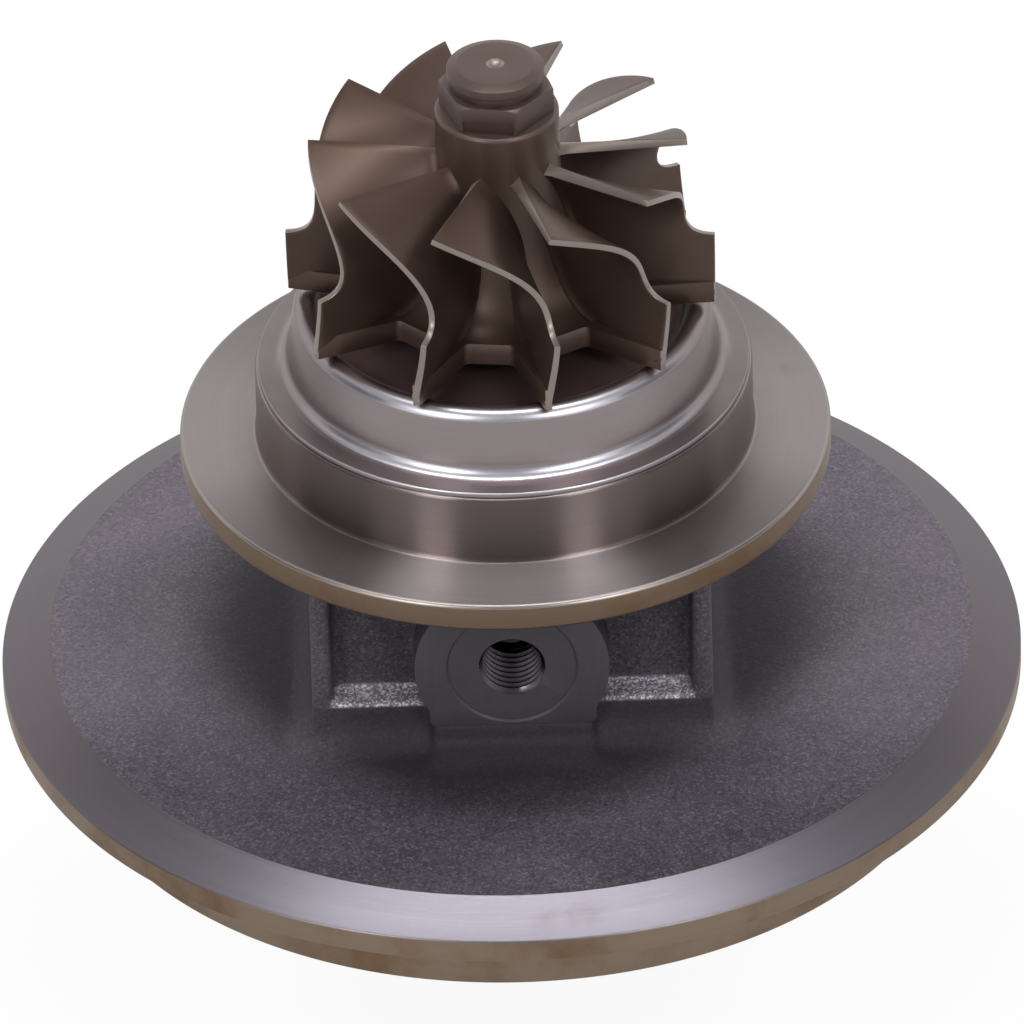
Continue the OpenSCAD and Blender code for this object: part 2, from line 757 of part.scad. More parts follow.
// Plate that closes the oil space on the compressor side
module oil_seal_plate() {
    groove_w = 2.6 * o_ring_r;
    mid_z = (plate_top + plate_low) / 2;
    color(light_alloy)
        rotate_extrude()
            polygon([
                [plate_bore_r, plate_low], [plate_r - edge_break, plate_low],
                [plate_r, plate_low + edge_break], [plate_r, mid_z - groove_w / 2],
                [plate_r - 2 * o_ring_r, mid_z - groove_w / 2],
                [plate_r - 2 * o_ring_r, mid_z + groove_w / 2], [plate_r, mid_z + groove_w / 2],
                [plate_r, plate_top], [plate_bore_r, plate_top]]);
}

module seal_plate_o_ring()
    color(black_rubber)
        translate([0, 0, (plate_top + plate_low) / 2])
            rotate_extrude() translate([plate_r - o_ring_r + loose / 2, 0]) circle(o_ring_r);

module seal_plate_snap_ring()
    color(steel)
        open_ring(snap_groove_r - loose, plate_r - 1.6, snap_low, snap_h, 12);

// Compressor wheel, drawn with its back down at height 0 and turned over into place

function impeller_root(s) =
    bezier(
        [[impeller_hub_r - 1.5, impeller_disc_h + impeller_h - 2], [impeller_hub_r - 1, 12],
         [impeller_hub_r + 8, impeller_disc_h - 0.6], [impeller_r - 0.6, impeller_disc_h - 0.9]], s);

function impeller_shroud(s) =
    let (outlet_z = impeller_disc_h + impeller_tip_h)
    bezier(
        [[impeller_eye_r, impeller_disc_h + impeller_h - 0.6], [impeller_eye_r, outlet_z + 8.5],
         [impeller_eye_r + 4, outlet_z + 0.9], [impeller_r - 0.4, outlet_z]], s);

// The blades scoop forward at the eye, run nearly radial and lie back at the edge
function impeller_angle(z, s, t) =
    impeller_turn * (0.72 * (1 - pow(1 - s, 2)) + 0.28 * s * s);

module impeller_core() {
    nose_h = impeller_disc_h + impeller_h;
    flare = bezier_points(
        [[impeller_r, impeller_disc_h], [impeller_hub_r + 10, impeller_disc_h + 1.2],
         [impeller_hub_r + 0.6, 14], [impeller_hub_r, nose_h - edge_break]], 12);
    rotate_extrude()
        polygon(concat(
            [[0, 0], [impeller_r, 0]], flare, [[impeller_hub_r - edge_break, nose_h], [0, nose_h]]));
}

module compressor_wheel() {
    pitch = 360 / compressor_blades;
    color(light_alloy)
        translate([0, 0, impeller_back_z])
            rotate([180, 0, 0])
                difference() {
                    union() {
                        impeller_core();
                        for (k = [0:compressor_blades - 1], start = [0, 0.34])
                            rotate((k + (start > 0 ? 0.5 : 0)) * pitch)
                                blade(
                                    function (s) impeller_root(s),
                                    function (s) impeller_shroud(s),
                                    function (z, s, t) impeller_angle(z, s, t),
                                    impeller_root_t, impeller_tip_t, start, start > 0 ? 7 : 10, 3);
                    }
                    hole(stub_r + stack_clear, -overlap, impeller_disc_h + impeller_h + overlap);
                }
}

// Locknut with a round flange under its twelve-point head
module compressor_locknut()
    color(steel)
        difference() {
            union() {
                translate([0, 0, nut_z]) {
                    cylinder(r = nut_r, h = nut_h, $fn = 6);
                    rotate(30) cylinder(r = nut_r, h = nut_h, $fn = 6);
                }
                hole(nut_r + 0.4, nut_z + nut_h - 1.8, nut_z + nut_h);
            }
            hole(stub_r + stack_clear, nut_z - overlap, nut_z + nut_h + overlap);
        }

bearing_housing();
heat_shield();
turbine_wheel();
rotor_shaft();
turbine_piston_ring();
compressor_piston_ring();
journal_bearing_turbine_end();
journal_bearing_compressor_end();
bearing_circlip(0);  // bearing_circlip_1
bearing_circlip(1);  // bearing_circlip_2
bearing_circlip(2);  // bearing_circlip_3
bearing_circlip(3);  // bearing_circlip_4
thrust_bearing();
thrust_pin(-1);  // thrust_pin_left
thrust_pin(1);  // thrust_pin_right
thrust_collar();
oil_slinger();
oil_baffle();
oil_seal_plate();
seal_plate_o_ring();
seal_plate_snap_ring();
compressor_wheel();
compressor_locknut();
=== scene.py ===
"""Turbocharger cartridge: the visible pieces and finishes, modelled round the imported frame.

Sizes are in metres, in the frame of the CAD model: the rotor axis is Z with the turbine wheel at the top,
the origin is on the axis in the plane of the large disc's underside, and the oil inlet faces -Y.
"""

import math

import bmesh
import bpy
from bpy.props import FloatProperty, FloatVectorProperty, IntProperty, PointerProperty
from bpy.types import Operator, Panel, PropertyGroup
from mathutils import Matrix, Vector


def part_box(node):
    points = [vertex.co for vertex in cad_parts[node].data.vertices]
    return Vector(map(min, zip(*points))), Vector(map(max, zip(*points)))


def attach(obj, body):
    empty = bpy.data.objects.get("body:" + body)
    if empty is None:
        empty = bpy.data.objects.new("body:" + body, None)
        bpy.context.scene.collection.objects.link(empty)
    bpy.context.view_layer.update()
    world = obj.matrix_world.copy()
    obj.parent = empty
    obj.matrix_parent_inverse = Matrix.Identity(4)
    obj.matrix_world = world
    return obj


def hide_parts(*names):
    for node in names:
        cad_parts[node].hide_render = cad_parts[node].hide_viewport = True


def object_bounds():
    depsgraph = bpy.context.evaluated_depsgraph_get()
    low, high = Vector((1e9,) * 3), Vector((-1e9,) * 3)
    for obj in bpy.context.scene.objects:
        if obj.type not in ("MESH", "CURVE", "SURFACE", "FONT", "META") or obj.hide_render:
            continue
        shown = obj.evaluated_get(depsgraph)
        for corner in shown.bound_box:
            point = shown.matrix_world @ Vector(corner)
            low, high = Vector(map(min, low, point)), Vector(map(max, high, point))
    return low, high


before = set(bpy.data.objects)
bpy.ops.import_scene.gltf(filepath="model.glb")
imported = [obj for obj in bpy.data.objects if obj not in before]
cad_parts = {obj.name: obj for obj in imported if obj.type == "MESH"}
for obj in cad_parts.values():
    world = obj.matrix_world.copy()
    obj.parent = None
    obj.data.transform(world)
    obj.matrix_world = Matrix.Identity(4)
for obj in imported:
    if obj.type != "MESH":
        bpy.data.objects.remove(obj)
CAD_BOX = [list(corner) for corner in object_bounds()]

bl_info = {
    "name": "Turbo Cartridge",
    "version": (1, 0, 0),
    "blender": (4, 5, 0),
    "location": "3D View > Sidebar > Cartridge",
    "description": "Models the visible pieces of a turbocharger cartridge and sets up its studio",
    "category": "Object",
}

MM = 0.001
TURN = 2 * math.pi
SMOOTH_ANGLE = math.radians(32)
WHEEL_SMOOTH_ANGLE = math.radians(40)
CAST_SMOOTH_ANGLE = math.radians(50)
MERGE_DISTANCE = 1e-7
THREAD_DEPTH = 0.54
THREAD_FLANK = math.radians(30)

HOUSING_LOW, HOUSING_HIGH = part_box("bearing_housing")
SHIELD_LOW, SHIELD_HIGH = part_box("heat_shield")
TURBINE_LOW, TURBINE_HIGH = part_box("turbine_wheel")
IMPELLER_LOW, IMPELLER_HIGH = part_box("compressor_wheel")
NUT_LOW, NUT_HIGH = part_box("compressor_locknut")


def size(label, text, millimetres):
    """A length that a user may change."""
    return FloatProperty(
        name=label, description=text, default=millimetres * MM, min=0, unit="LENGTH", precision=5)


def turn(label, text, degrees):
    """An angle that a user may change."""
    return FloatProperty(name=label, description=text, default=math.radians(degrees), unit="ROTATION")


def linear(red, green, blue):
    """A colour as it looks on screen, 0 to 255, as the shader's own numbers."""
    shares = [channel / 255 for channel in (red, green, blue)]
    return tuple(s / 12.92 if s <= 0.04045 else ((s + 0.055) / 1.055) ** 2.4 for s in shares)


def colour(label, text, red, green, blue):
    """A finish colour that a user may change."""
    return FloatVectorProperty(
        name=label, description=text, default=linear(red, green, blue), min=0, max=1, subtype="COLOR")


class HousingSizes(PropertyGroup):
    """Sizes of the bearing housing"""

    rim_height: size("Rim height", "Height of the disc's plain rim", 4.2)
    band_width: size("Band width", "Radial width of the machined band inside the rim", 8.5)
    band_rise: size("Band rise", "Rise of the machined band", 3.9)
    dish_rise: size("Dish rise", "Rise of the cast face from the band to the body", 2.2)
    core_foot: size("Core foot", "Radius at which the cast face reaches the core", 37)
    spigot_radius: size("Spigot radius", "Radius of the pilot that enters the compressor cover", 79)
    recess_radius: size("Recess radius", "Radius of the compressor wheel's recess", 44.2)
    recess_roof: size("Recess roof", "Depth of the recess's roof below the disc", 9.4)
    pocket_radius: size("Pocket radius", "Radius of the seal plate's pocket", 32.05)
    pocket_roof: size("Pocket roof", "Depth of the seal plate's seat below the disc", 2.6)
    oil_room_radius: size("Oil room radius", "Radius of the oil space behind the seal plate", 27)
    oil_room_roof: size("Oil room roof", "Height of the thrust face", 8)
    flange_radius: size("Flange radius", "Outer radius of the turbine flange", 57)
    flange_base: size("Flange base", "Height of the flange's underside", 46.7)
    flange_thickness: size("Flange thickness", "Thickness of the turbine flange", 5)
    pilot_radius: size("Pilot radius", "Radius of the pilot that enters the turbine housing", 43.5)
    pilot_height: size("Pilot height", "Height of that pilot above the flange", 13)
    nose_radius: size("Nose radius", "Radius of the nose that carries the shaft seal", 17)
    core_radius: size("Core tube radius", "Outer radius of the bearing bore's tube", 19)
    bore_radius: size("Bore radius", "Radius of the bearing bore", 9.05)
    seal_bore_radius: size("Seal bore radius", "Radius of the turbine-end seal bore", 10.3)
    seal_bore_base: size("Seal bore base", "Height of the seal bore's lower end", 58.3)
    collar_room_radius: size("Collar room radius", "Radius of the room for the thrust collar", 15)
    collar_room_top: size("Collar room top", "Height of that room's roof", 12.7)
    body_width: size("Body width", "Width of the body across the oil inlet", 70)
    wall_front: size("Front wall", "Distance of the recessed front wall from the axis", 32.7)
    wall_back: size("Rear wall", "Distance of the rear wall from the axis", 31)
    ledge_front: size("Ledge front", "Distance of the lower block's front from the axis", 38)
    ledge_height: size("Ledge height", "Height of the ledge on top of the lower block", 18.5)
    rib_width: size("Rib width", "Thickness of the upright ribs", 3.6)
    corner: size("Body corner", "Rounding of the body's upright corners", 4)
    grain: size("Casting grain", "Edge of a cell of the casting's rounded mesh", 0.8)


class PortSizes(PropertyGroup):
    """Sizes of the oil inlet and drain"""

    inlet_height: size("Inlet height", "Height of the inlet axis", 27.4)
    inlet_face: size("Inlet face", "Distance of the machined inlet face from the axis", 40.8)
    boss_radius: size("Boss radius", "Radius of the inlet boss", 17)
    spot_radius: size("Spot face radius", "Radius of the round spot face", 11.2)
    spot_depth: size("Spot face depth", "Depth of the spot face", 0.5)
    tap_radius: size("Inlet core radius", "Core radius of the inlet thread", 5.2)
    tap_depth: size("Inlet depth", "Depth of the tapped inlet hole", 15)
    tap_pitch: size("Inlet pitch", "Pitch of the inlet thread", 1.5)
    pedestal_width: size("Pedestal width", "Width of the pedestal under the boss", 29)
    pedestal_edge: size("Pedestal edge", "Height of the pedestal's front edge", 12.2)
    pedestal_toe: size("Pedestal toe", "Reach of the pedestal's sloping toe", 8.2)
    face_lift: size("Face lift", "Height of the milled face's foot over the pedestal's edge", 3.2)
    drain_height: size("Drain height", "Height of the drain axis", 30)
    drain_face: size("Drain face", "Distance of the drain face from the axis", 45)
    drain_radius: size("Drain radius", "Radius of the drain bore", 10.5)
    drain_depth: size("Drain depth", "Depth of the drain bore", 21)
    pad_width: size("Pad width", "Width of the drain pad", 58)
    pad_height: size("Pad height", "Height of the drain pad", 30)
    bolt_span: size("Bolt span", "Distance between the two drain bolts", 40)
    bolt_radius: size("Bolt core radius", "Core radius of a drain bolt's thread", 3.4)
    bolt_depth: size("Bolt depth", "Depth of a drain bolt's hole", 13)
    bolt_pitch: size("Bolt pitch", "Pitch of a drain bolt's thread", 1.25)


class ShieldSizes(PropertyGroup):
    """Sizes of the heat shield"""

    sheet: size("Sheet", "Thickness of the pressed sheet", 1)
    wall_radius: size("Wall radius", "Radius of the wall where it leaves the flange", 37.5)
    draft: size("Draft", "Draft of the wall, from its foot to its top", 0.9)
    bend: size("Bend", "Inside radius of the bend at the flange", 2.4)
    lip: size("Lip", "Outer radius of the rolled lip", 2.5)
    dish: size("Dish", "Depth of the floor below the lip", 3.4)
    slope: size("Slope", "Run of the slope from the lip to the floor", 1.5)
    hole_radius: size("Hole radius", "Radius of the shaft hole", 13)


class TurbineSizes(PropertyGroup):
    """Sizes of the turbine wheel"""

    blades: IntProperty(name="Blades", description="Number of turbine blades", default=10, min=3)
    back: size("Back", "Height of the wheel's back face", 78.6)
    inducer_height: size("Inducer height", "Height of the inducer edges", 12.8)
    exducer_radius: size("Exducer radius", "Radius of the blades at the outlet", 32.9)
    blade_height: size("Blade height", "Height of the blades over the back face", 31.6)
    phase: turn("Phase", "Angle of the first blade's foot", -78.9)
    lean: turn("Lean", "Lean of the inducer half", 11.3)
    twist: turn("Twist", "Turn of the exducer half", 43.5)
    hub_twist: turn("Hub twist", "Extra turn of the exducer at the hub", 8)
    tip_thickness: size("Tip thickness", "Blade thickness at the tip", 1.1)
    root_thickness: size("Root thickness", "Blade thickness at the root", 2.2)
    root_fillet: size("Root fillet", "Casting fillet between blade and hub", 2)
    star_thickness: size("Star thickness", "Thickness of the scalloped back disc", 4.1)
    scallop_radius: size("Scallop radius", "Radius of the scallops' floors", 22.5)
    scallop_width: size("Scallop width", "Width of a scallop's floor", 8)
    hub_radius: size("Hub radius", "Radius of the hub at the outlet", 10.8)
    hub_rise: size("Hub rise", "Height of the plain hub above the outlet", 7.3)
    hex_radius: size("Hexagon radius", "Radius over the corners of the nose hexagon", 10.1)
    hex_height: size("Hexagon height", "Height of the nose hexagon", 5)
    hex_phase: turn("Hexagon phase", "Angle of the hexagon's first corner", -70.1)
    neck_radius: size("Neck radius", "Radius of the neck above the hexagon", 7.8)
    neck_height: size("Neck height", "Height of the neck", 1.5)
    cap_radius: size("Cap radius", "Radius of the round cap", 8.5)
    weld_radius: size("Weld radius", "Radius of the boss at the shaft weld", 10)


class ImpellerSizes(PropertyGroup):
    """Sizes of the compressor wheel and its nut"""

    blades: IntProperty(name="Blades", description="Full blades, with as many splitters", default=7, min=3)
    eye_radius: size("Eye radius", "Radius of the blades at the inlet", 30)
    outlet_height: size("Outlet height", "Height of the blades at the outer edge", 5.2)
    disc: size("Disc", "Thickness of the back disc at its edge", 2.4)
    hub_radius: size("Hub radius", "Radius of the hub at the nose", 9)
    bore_radius: size("Bore radius", "Radius of the shaft bore", 4.21)
    sweep: turn("Sweep", "Turn of a blade from its inlet to its outlet", 58)
    tip_thickness: size("Tip thickness", "Blade thickness at the tip", 0.9)
    root_thickness: size("Root thickness", "Blade thickness at the root", 1.8)
    root_fillet: size("Root fillet", "Fillet between blade and hub", 1.2)
    splitter_start: FloatProperty(
        name="Splitter start", description="Share of a full blade that a splitter leaves out",
        default=0.34, min=0, max=0.9, subtype="FACTOR")
    nut_flange: size("Nut flange", "Thickness of the locknut's round flange", 1.8)
    nut_radius: size("Nut radius", "Radius over the locknut's corners", 8)


class Finishes(PropertyGroup):
    """Colours of the finishes"""

    cast_light: colour("Cast skin, light", "Grain of the sand-cast iron", 131, 122, 131)
    # The dark end of the grain, which the painted shade round the body and in front of the oil inlet also
    # takes.
    cast_dark: colour("Cast skin, dark", "Hollows and oily parts of the cast iron", 55, 52, 62)
    cast_speck: colour("Cast skin, specks", "Bright grains of the cast iron", 158, 152, 160)
    # Painted shade in the corner between the body and the disc, also used low on the inlet face.
    cast_foot_shade: colour("Cast skin, foot", "Oily corner between body and disc", 44, 40, 47)
    # Sand grain on the ledges, painted bright as a painted highlight.
    cast_sand_highlight: colour("Cast skin, sand", "Bright sand grain on the ledges", 232, 228, 238)
    band: colour("Machined band", "Turned band inside the disc's rim", 150, 145, 155)
    # Painted shade: the band's sides and back are darker than its front.
    band_side_shade: colour("Band sides", "Duller sides and back of the band", 122, 115, 120)
    rim: colour("Rim", "Turned rim and spigot of the disc", 168, 148, 130)
    flange_rim: colour("Flange rim", "Turned rim of the turbine flange", 148, 126, 108)
    flange: colour("Turbine flange", "Turned faces of the turbine end", 178, 168, 169)
    # Painted shade: the pilot wall is a darker copy of the flange's turned finish.
    pilot: colour("Turbine pilot", "Turned wall of the turbine pilot", 136, 123, 122)
    stain: colour("Stain", "Light rust and preserving oil on turned faces", 126, 94, 64)
    boss: colour("Inlet face", "Milled faces of the oil ports", 96, 91, 98)
    thread: colour("Threads", "Tapped threads of the oil ports", 104, 99, 106)
    shield: colour("Heat shield", "Pressed steel sheet", 184, 172, 174)
    # Painted highlight on the bends of the heat shield.
    polish: colour("Polish", "Bright bends of the heat shield", 216, 212, 222)
    soot: colour("Soot", "Burnt floor of the heat shield", 108, 86, 86)
    wheel: colour("Turbine alloy", "Cast skin of the turbine wheel", 102, 83, 74)
    scallop: colour("Scallops", "Ground floors of the scallops", 134, 116, 108)
    nose: colour("Wheel nose", "Turned nose of the turbine wheel", 112, 96, 92)
    worn: colour("Worn edge", "Bright worn edge of the flange", 182, 174, 170)
    # Ground blade edges; the same bright finish is a painted highlight on the star's upper bevels and in
    # the centre drilling.
    wheel_edge_and_highlight: colour("Ground edges", "Ground edges of the turbine blades", 168, 158, 152)
    light_alloy: colour("Light alloy", "Milled aluminium", 205, 206, 208)
    steel: colour("Ground steel", "Shaft, rings and nut", 165, 163, 162)
    bronze: colour("Bronze", "Bearings", 190, 148, 86)
    rubber: colour("Rubber", "O-ring", 30, 30, 31)
    floor: colour("Floor", "Studio floor", 243, 243, 243)


# Modelling helpers


def deselect():
    """Leaves edit mode and clears the selection, so that an operator acts on the new piece alone."""
    if bpy.context.object and bpy.context.object.mode != "OBJECT":
        bpy.ops.object.mode_set(mode="OBJECT")
    bpy.ops.object.select_all(action="DESELECT")


def choose(*pieces):
    """Selects these pieces, the first one active."""
    deselect()
    for piece in pieces:
        piece.select_set(True)
    bpy.context.view_layer.objects.active = pieces[0]


def named(name):
    """Names the piece that an operator has just added."""
    piece = bpy.context.object
    piece.name = name
    piece.data.name = name
    return piece


def edit_all():
    """Enters edit mode with everything selected."""
    bpy.ops.object.mode_set(mode="EDIT")
    bpy.ops.mesh.select_mode(type="VERT")
    bpy.ops.mesh.select_all(action="SELECT")


def pick_edges(piece, test):
    """Selects, in edit mode, the edges that pass a test."""
    bpy.ops.mesh.select_all(action="DESELECT")
    bpy.ops.mesh.select_mode(type="EDGE")
    mesh = bmesh.from_edit_mesh(piece.data)
    for edge in mesh.edges:
        if test(edge):
            edge.select_set(True)
    bmesh.update_edit_mesh(piece.data)


def settle(piece, matrix):
    """Puts a piece in its place and applies that, so that its object stays at the origin."""
    choose(piece)
    piece.matrix_world = matrix
    bpy.ops.object.transform_apply(location=True, rotation=True, scale=True)
    return piece


def finish_with(piece, kind, **settings):
    """Adds a modifier with its settings and applies it."""
    choose(piece)
    modifier = piece.modifiers.new(kind.lower(), kind)
    for key, value in settings.items():
        setattr(modifier, key, value)
    bpy.ops.object.modifier_apply(modifier=modifier.name)
    return piece


def bevel(piece, width, degrees=50, segments=2):
    """Rounds the edges that turn by more than an angle."""
    return finish_with(
        piece, "BEVEL", width=width, segments=segments, limit_method="ANGLE",
        angle_limit=math.radians(degrees))


def cut(piece, cutter, operation="DIFFERENCE"):
    """Cuts one closed piece with another, which is then removed."""
    finish_with(piece, "BOOLEAN", operation=operation, object=cutter, solver="MANIFOLD")
    if piece.modifiers:
        raise RuntimeError(f"{cutter.name} does not cut {piece.name}")
    bpy.data.objects.remove(cutter)
    return piece


def joined(name, pieces):
    """Joins pieces into the first one."""
    choose(*pieces)
    bpy.ops.object.join()
    return named(name)


def smooth(piece, angle=SMOOTH_ANGLE):
    """Shades a piece smooth, apart from its edges."""
    choose(piece)
    bpy.ops.object.shade_smooth_by_angle(angle=angle)
    return piece


def turned_copies(piece, count, step):
    """The piece and its copies about the axis, each with its own mesh."""
    copies = [piece]
    for k in range(1, count):
        choose(piece)
        bpy.ops.object.duplicate()
        copies.append(settle(bpy.context.object, Matrix.Rotation(k * step, 4, "Z")))
    return copies


def bezier(points, t):
    """A point on a cubic curve."""
    u = 1 - t
    return points[0] * u**3 + points[1] * (3 * t * u * u) + points[2] * (3 * t * t * u) + points[3] * t**3


def curve(points, steps):
    """Points along a cubic curve of radius and height."""
    handles = [Vector(p) for p in points]
    return [bezier(handles, k / steps) for k in range(steps + 1)]


def arc(centre, radius, start, stop, steps):
    """Points along an arc, with its angles in degrees."""
    angles = [math.radians(start + (stop - start) * k / steps) for k in range(steps + 1)]
    return [Vector((centre[0] + radius * math.cos(a), centre[1] + radius * math.sin(a))) for a in angles]


def rounded(corners, steps=5):
    """A closed outline whose corners are (across, up, rounding)."""
    points = []
    for k, (across, up, rounding) in enumerate(corners):
        here = Vector((across, up))
        if not rounding:
            points.append(here)
            continue
        before = (Vector(corners[k - 1][:2]) - here).normalized()
        after = (Vector(corners[(k + 1) % len(corners)][:2]) - here).normalized()
        half = before.angle(after) / 2
        centre = here + (before + after).normalized() * (rounding / math.sin(half))
        first = here + before * (rounding / math.tan(half)) - centre
        last = here + after * (rounding / math.tan(half)) - centre
        points += [centre + first.slerp(last, i / steps) * rounding for i in range(steps + 1)]
    return points


def draw(name, outline, lay=lambda u, v: Vector((u, 0, v)), closed=True):
    """Extrudes one vertex from point to point of an outline and stays in edit mode."""
    deselect()
    bpy.ops.mesh.primitive_plane_add(size=MM)
    piece = named(name)
    edit_all()
    bpy.ops.mesh.merge(type="CENTER")
    stops = [lay(*point) for point in outline]
    bpy.ops.transform.translate(value=stops[0])
    ends = stops[1:] + stops[:1] if closed else stops[1:]
    for here, there in zip(stops, ends):
        bpy.ops.mesh.extrude_vertices_move(TRANSFORM_OT_translate={"value": there - here})
    bpy.ops.mesh.select_all(action="SELECT")
    bpy.ops.mesh.remove_doubles(threshold=MERGE_DISTANCE)
    return piece


def close_up():
    """Merges the seam and the poles, turns the faces outwards and leaves edit mode."""
    bpy.ops.mesh.select_all(action="SELECT")
    bpy.ops.mesh.remove_doubles(threshold=MERGE_DISTANCE)
    bpy.ops.mesh.normals_make_consistent(inside=False)
    bpy.ops.object.mode_set(mode="OBJECT")


def lathe(name, outline, steps, closed=True):
    """Spins an outline of radius and height about the axis."""
    piece = draw(name, outline, closed=closed)
    bpy.ops.mesh.spin(steps=steps, angle=TURN, center=(0, 0, 0), axis=(0, 0, 1))
    close_up()
    return smooth(piece)


def plate(name, outline, depth, lay):
    """Fills an outline and extrudes it by a vector."""
    piece = draw(name, outline, lay)
    bpy.ops.mesh.fill()
    bpy.ops.mesh.extrude_region_move(TRANSFORM_OT_translate={"value": depth})
    close_up()
    return piece


def block(name, low, high, corner=0.0):
    """A block between two corners, its upright edges rounded."""
    deselect()
    bpy.ops.mesh.primitive_cube_add(size=1)
    piece = named(name)
    edit_all()
    bpy.ops.transform.resize(value=Vector(high) - Vector(low))
    bpy.ops.transform.translate(value=(Vector(high) + Vector(low)) / 2)
    if corner:
        pick_edges(piece, lambda e: abs(e.verts[0].co.z - e.verts[1].co.z) > MM)
        bpy.ops.mesh.bevel(offset=corner, segments=5, affect="EDGES")
    bpy.ops.object.mode_set(mode="OBJECT")
    return piece


def drill(name, radius, start, stop, steps=64):
    """A round bar between two points, for cutting a hole."""
    deselect()
    run = Vector(stop) - Vector(start)
    bpy.ops.mesh.primitive_cylinder_add(vertices=steps, radius=radius, depth=run.length)
    piece = named(name)
    turned = run.to_track_quat("Z", "Y").to_matrix().to_4x4()
    return settle(piece, Matrix.Translation((Vector(start) + Vector(stop)) / 2) @ turned)


def hexagon_bar(name, radius, low, high, angle):
    """A six-sided bar about the axis, between two heights."""
    deselect()
    bpy.ops.mesh.primitive_cylinder_add(vertices=6, radius=radius, depth=high - low)
    middle = Matrix.Translation((0, 0, (low + high) / 2))
    return settle(named(name), middle @ Matrix.Rotation(angle, 4, "Z"))


def tap(name, core, pitch, length, matrix):
    """A closed screw thread about Z from height 0 down, for cutting a tapped hole."""
    depth = THREAD_DEPTH * pitch
    run = depth * math.tan(THREAD_FLANK)
    flat = pitch / 8
    profile = [
        (core, 0), (core, flat), (core + depth, flat + run), (core + depth, 2 * flat + run),
        (core, 2 * flat + 2 * run), (core, pitch)]
    turns = int(length / pitch) + 4
    piece = draw(name, [(r, z - length - 2 * pitch) for r, z in profile], closed=False)
    bpy.ops.object.mode_set(mode="OBJECT")
    finish_with(piece, "SCREW", axis="Z", screw_offset=pitch, iterations=turns, steps=40, render_steps=40)
    edit_all()
    bpy.ops.mesh.remove_doubles(threshold=1e-6)
    for height, side in ((MM, 1), (-length, -1)):
        bpy.ops.mesh.select_all(action="SELECT")
        bpy.ops.mesh.bisect(
            plane_co=(0, 0, height), plane_no=(0, 0, side), use_fill=True, clear_outer=True, threshold=1e-9)
    close_up()
    return settle(piece, matrix)


# Finishes


class Term:
    """A shader socket in an expression. Arithmetic on it adds Math nodes."""

    def __init__(self, finish, socket):
        self.finish = finish
        self.socket = socket

    def math(self, operation, *others):
        """Adds one Math node."""
        inputs = dict(enumerate((self, *others)))
        return self.finish.node("ShaderNodeMath", {"operation": operation}, inputs)

    def __add__(self, other):
        return self.math("ADD", other)

    __radd__ = __add__

    def __sub__(self, other):
        return self.math("SUBTRACT", other)

    def __rsub__(self, other):
        return self * -1 + other

    def __mul__(self, other):
        return self.math("MULTIPLY", other)

    __rmul__ = __mul__


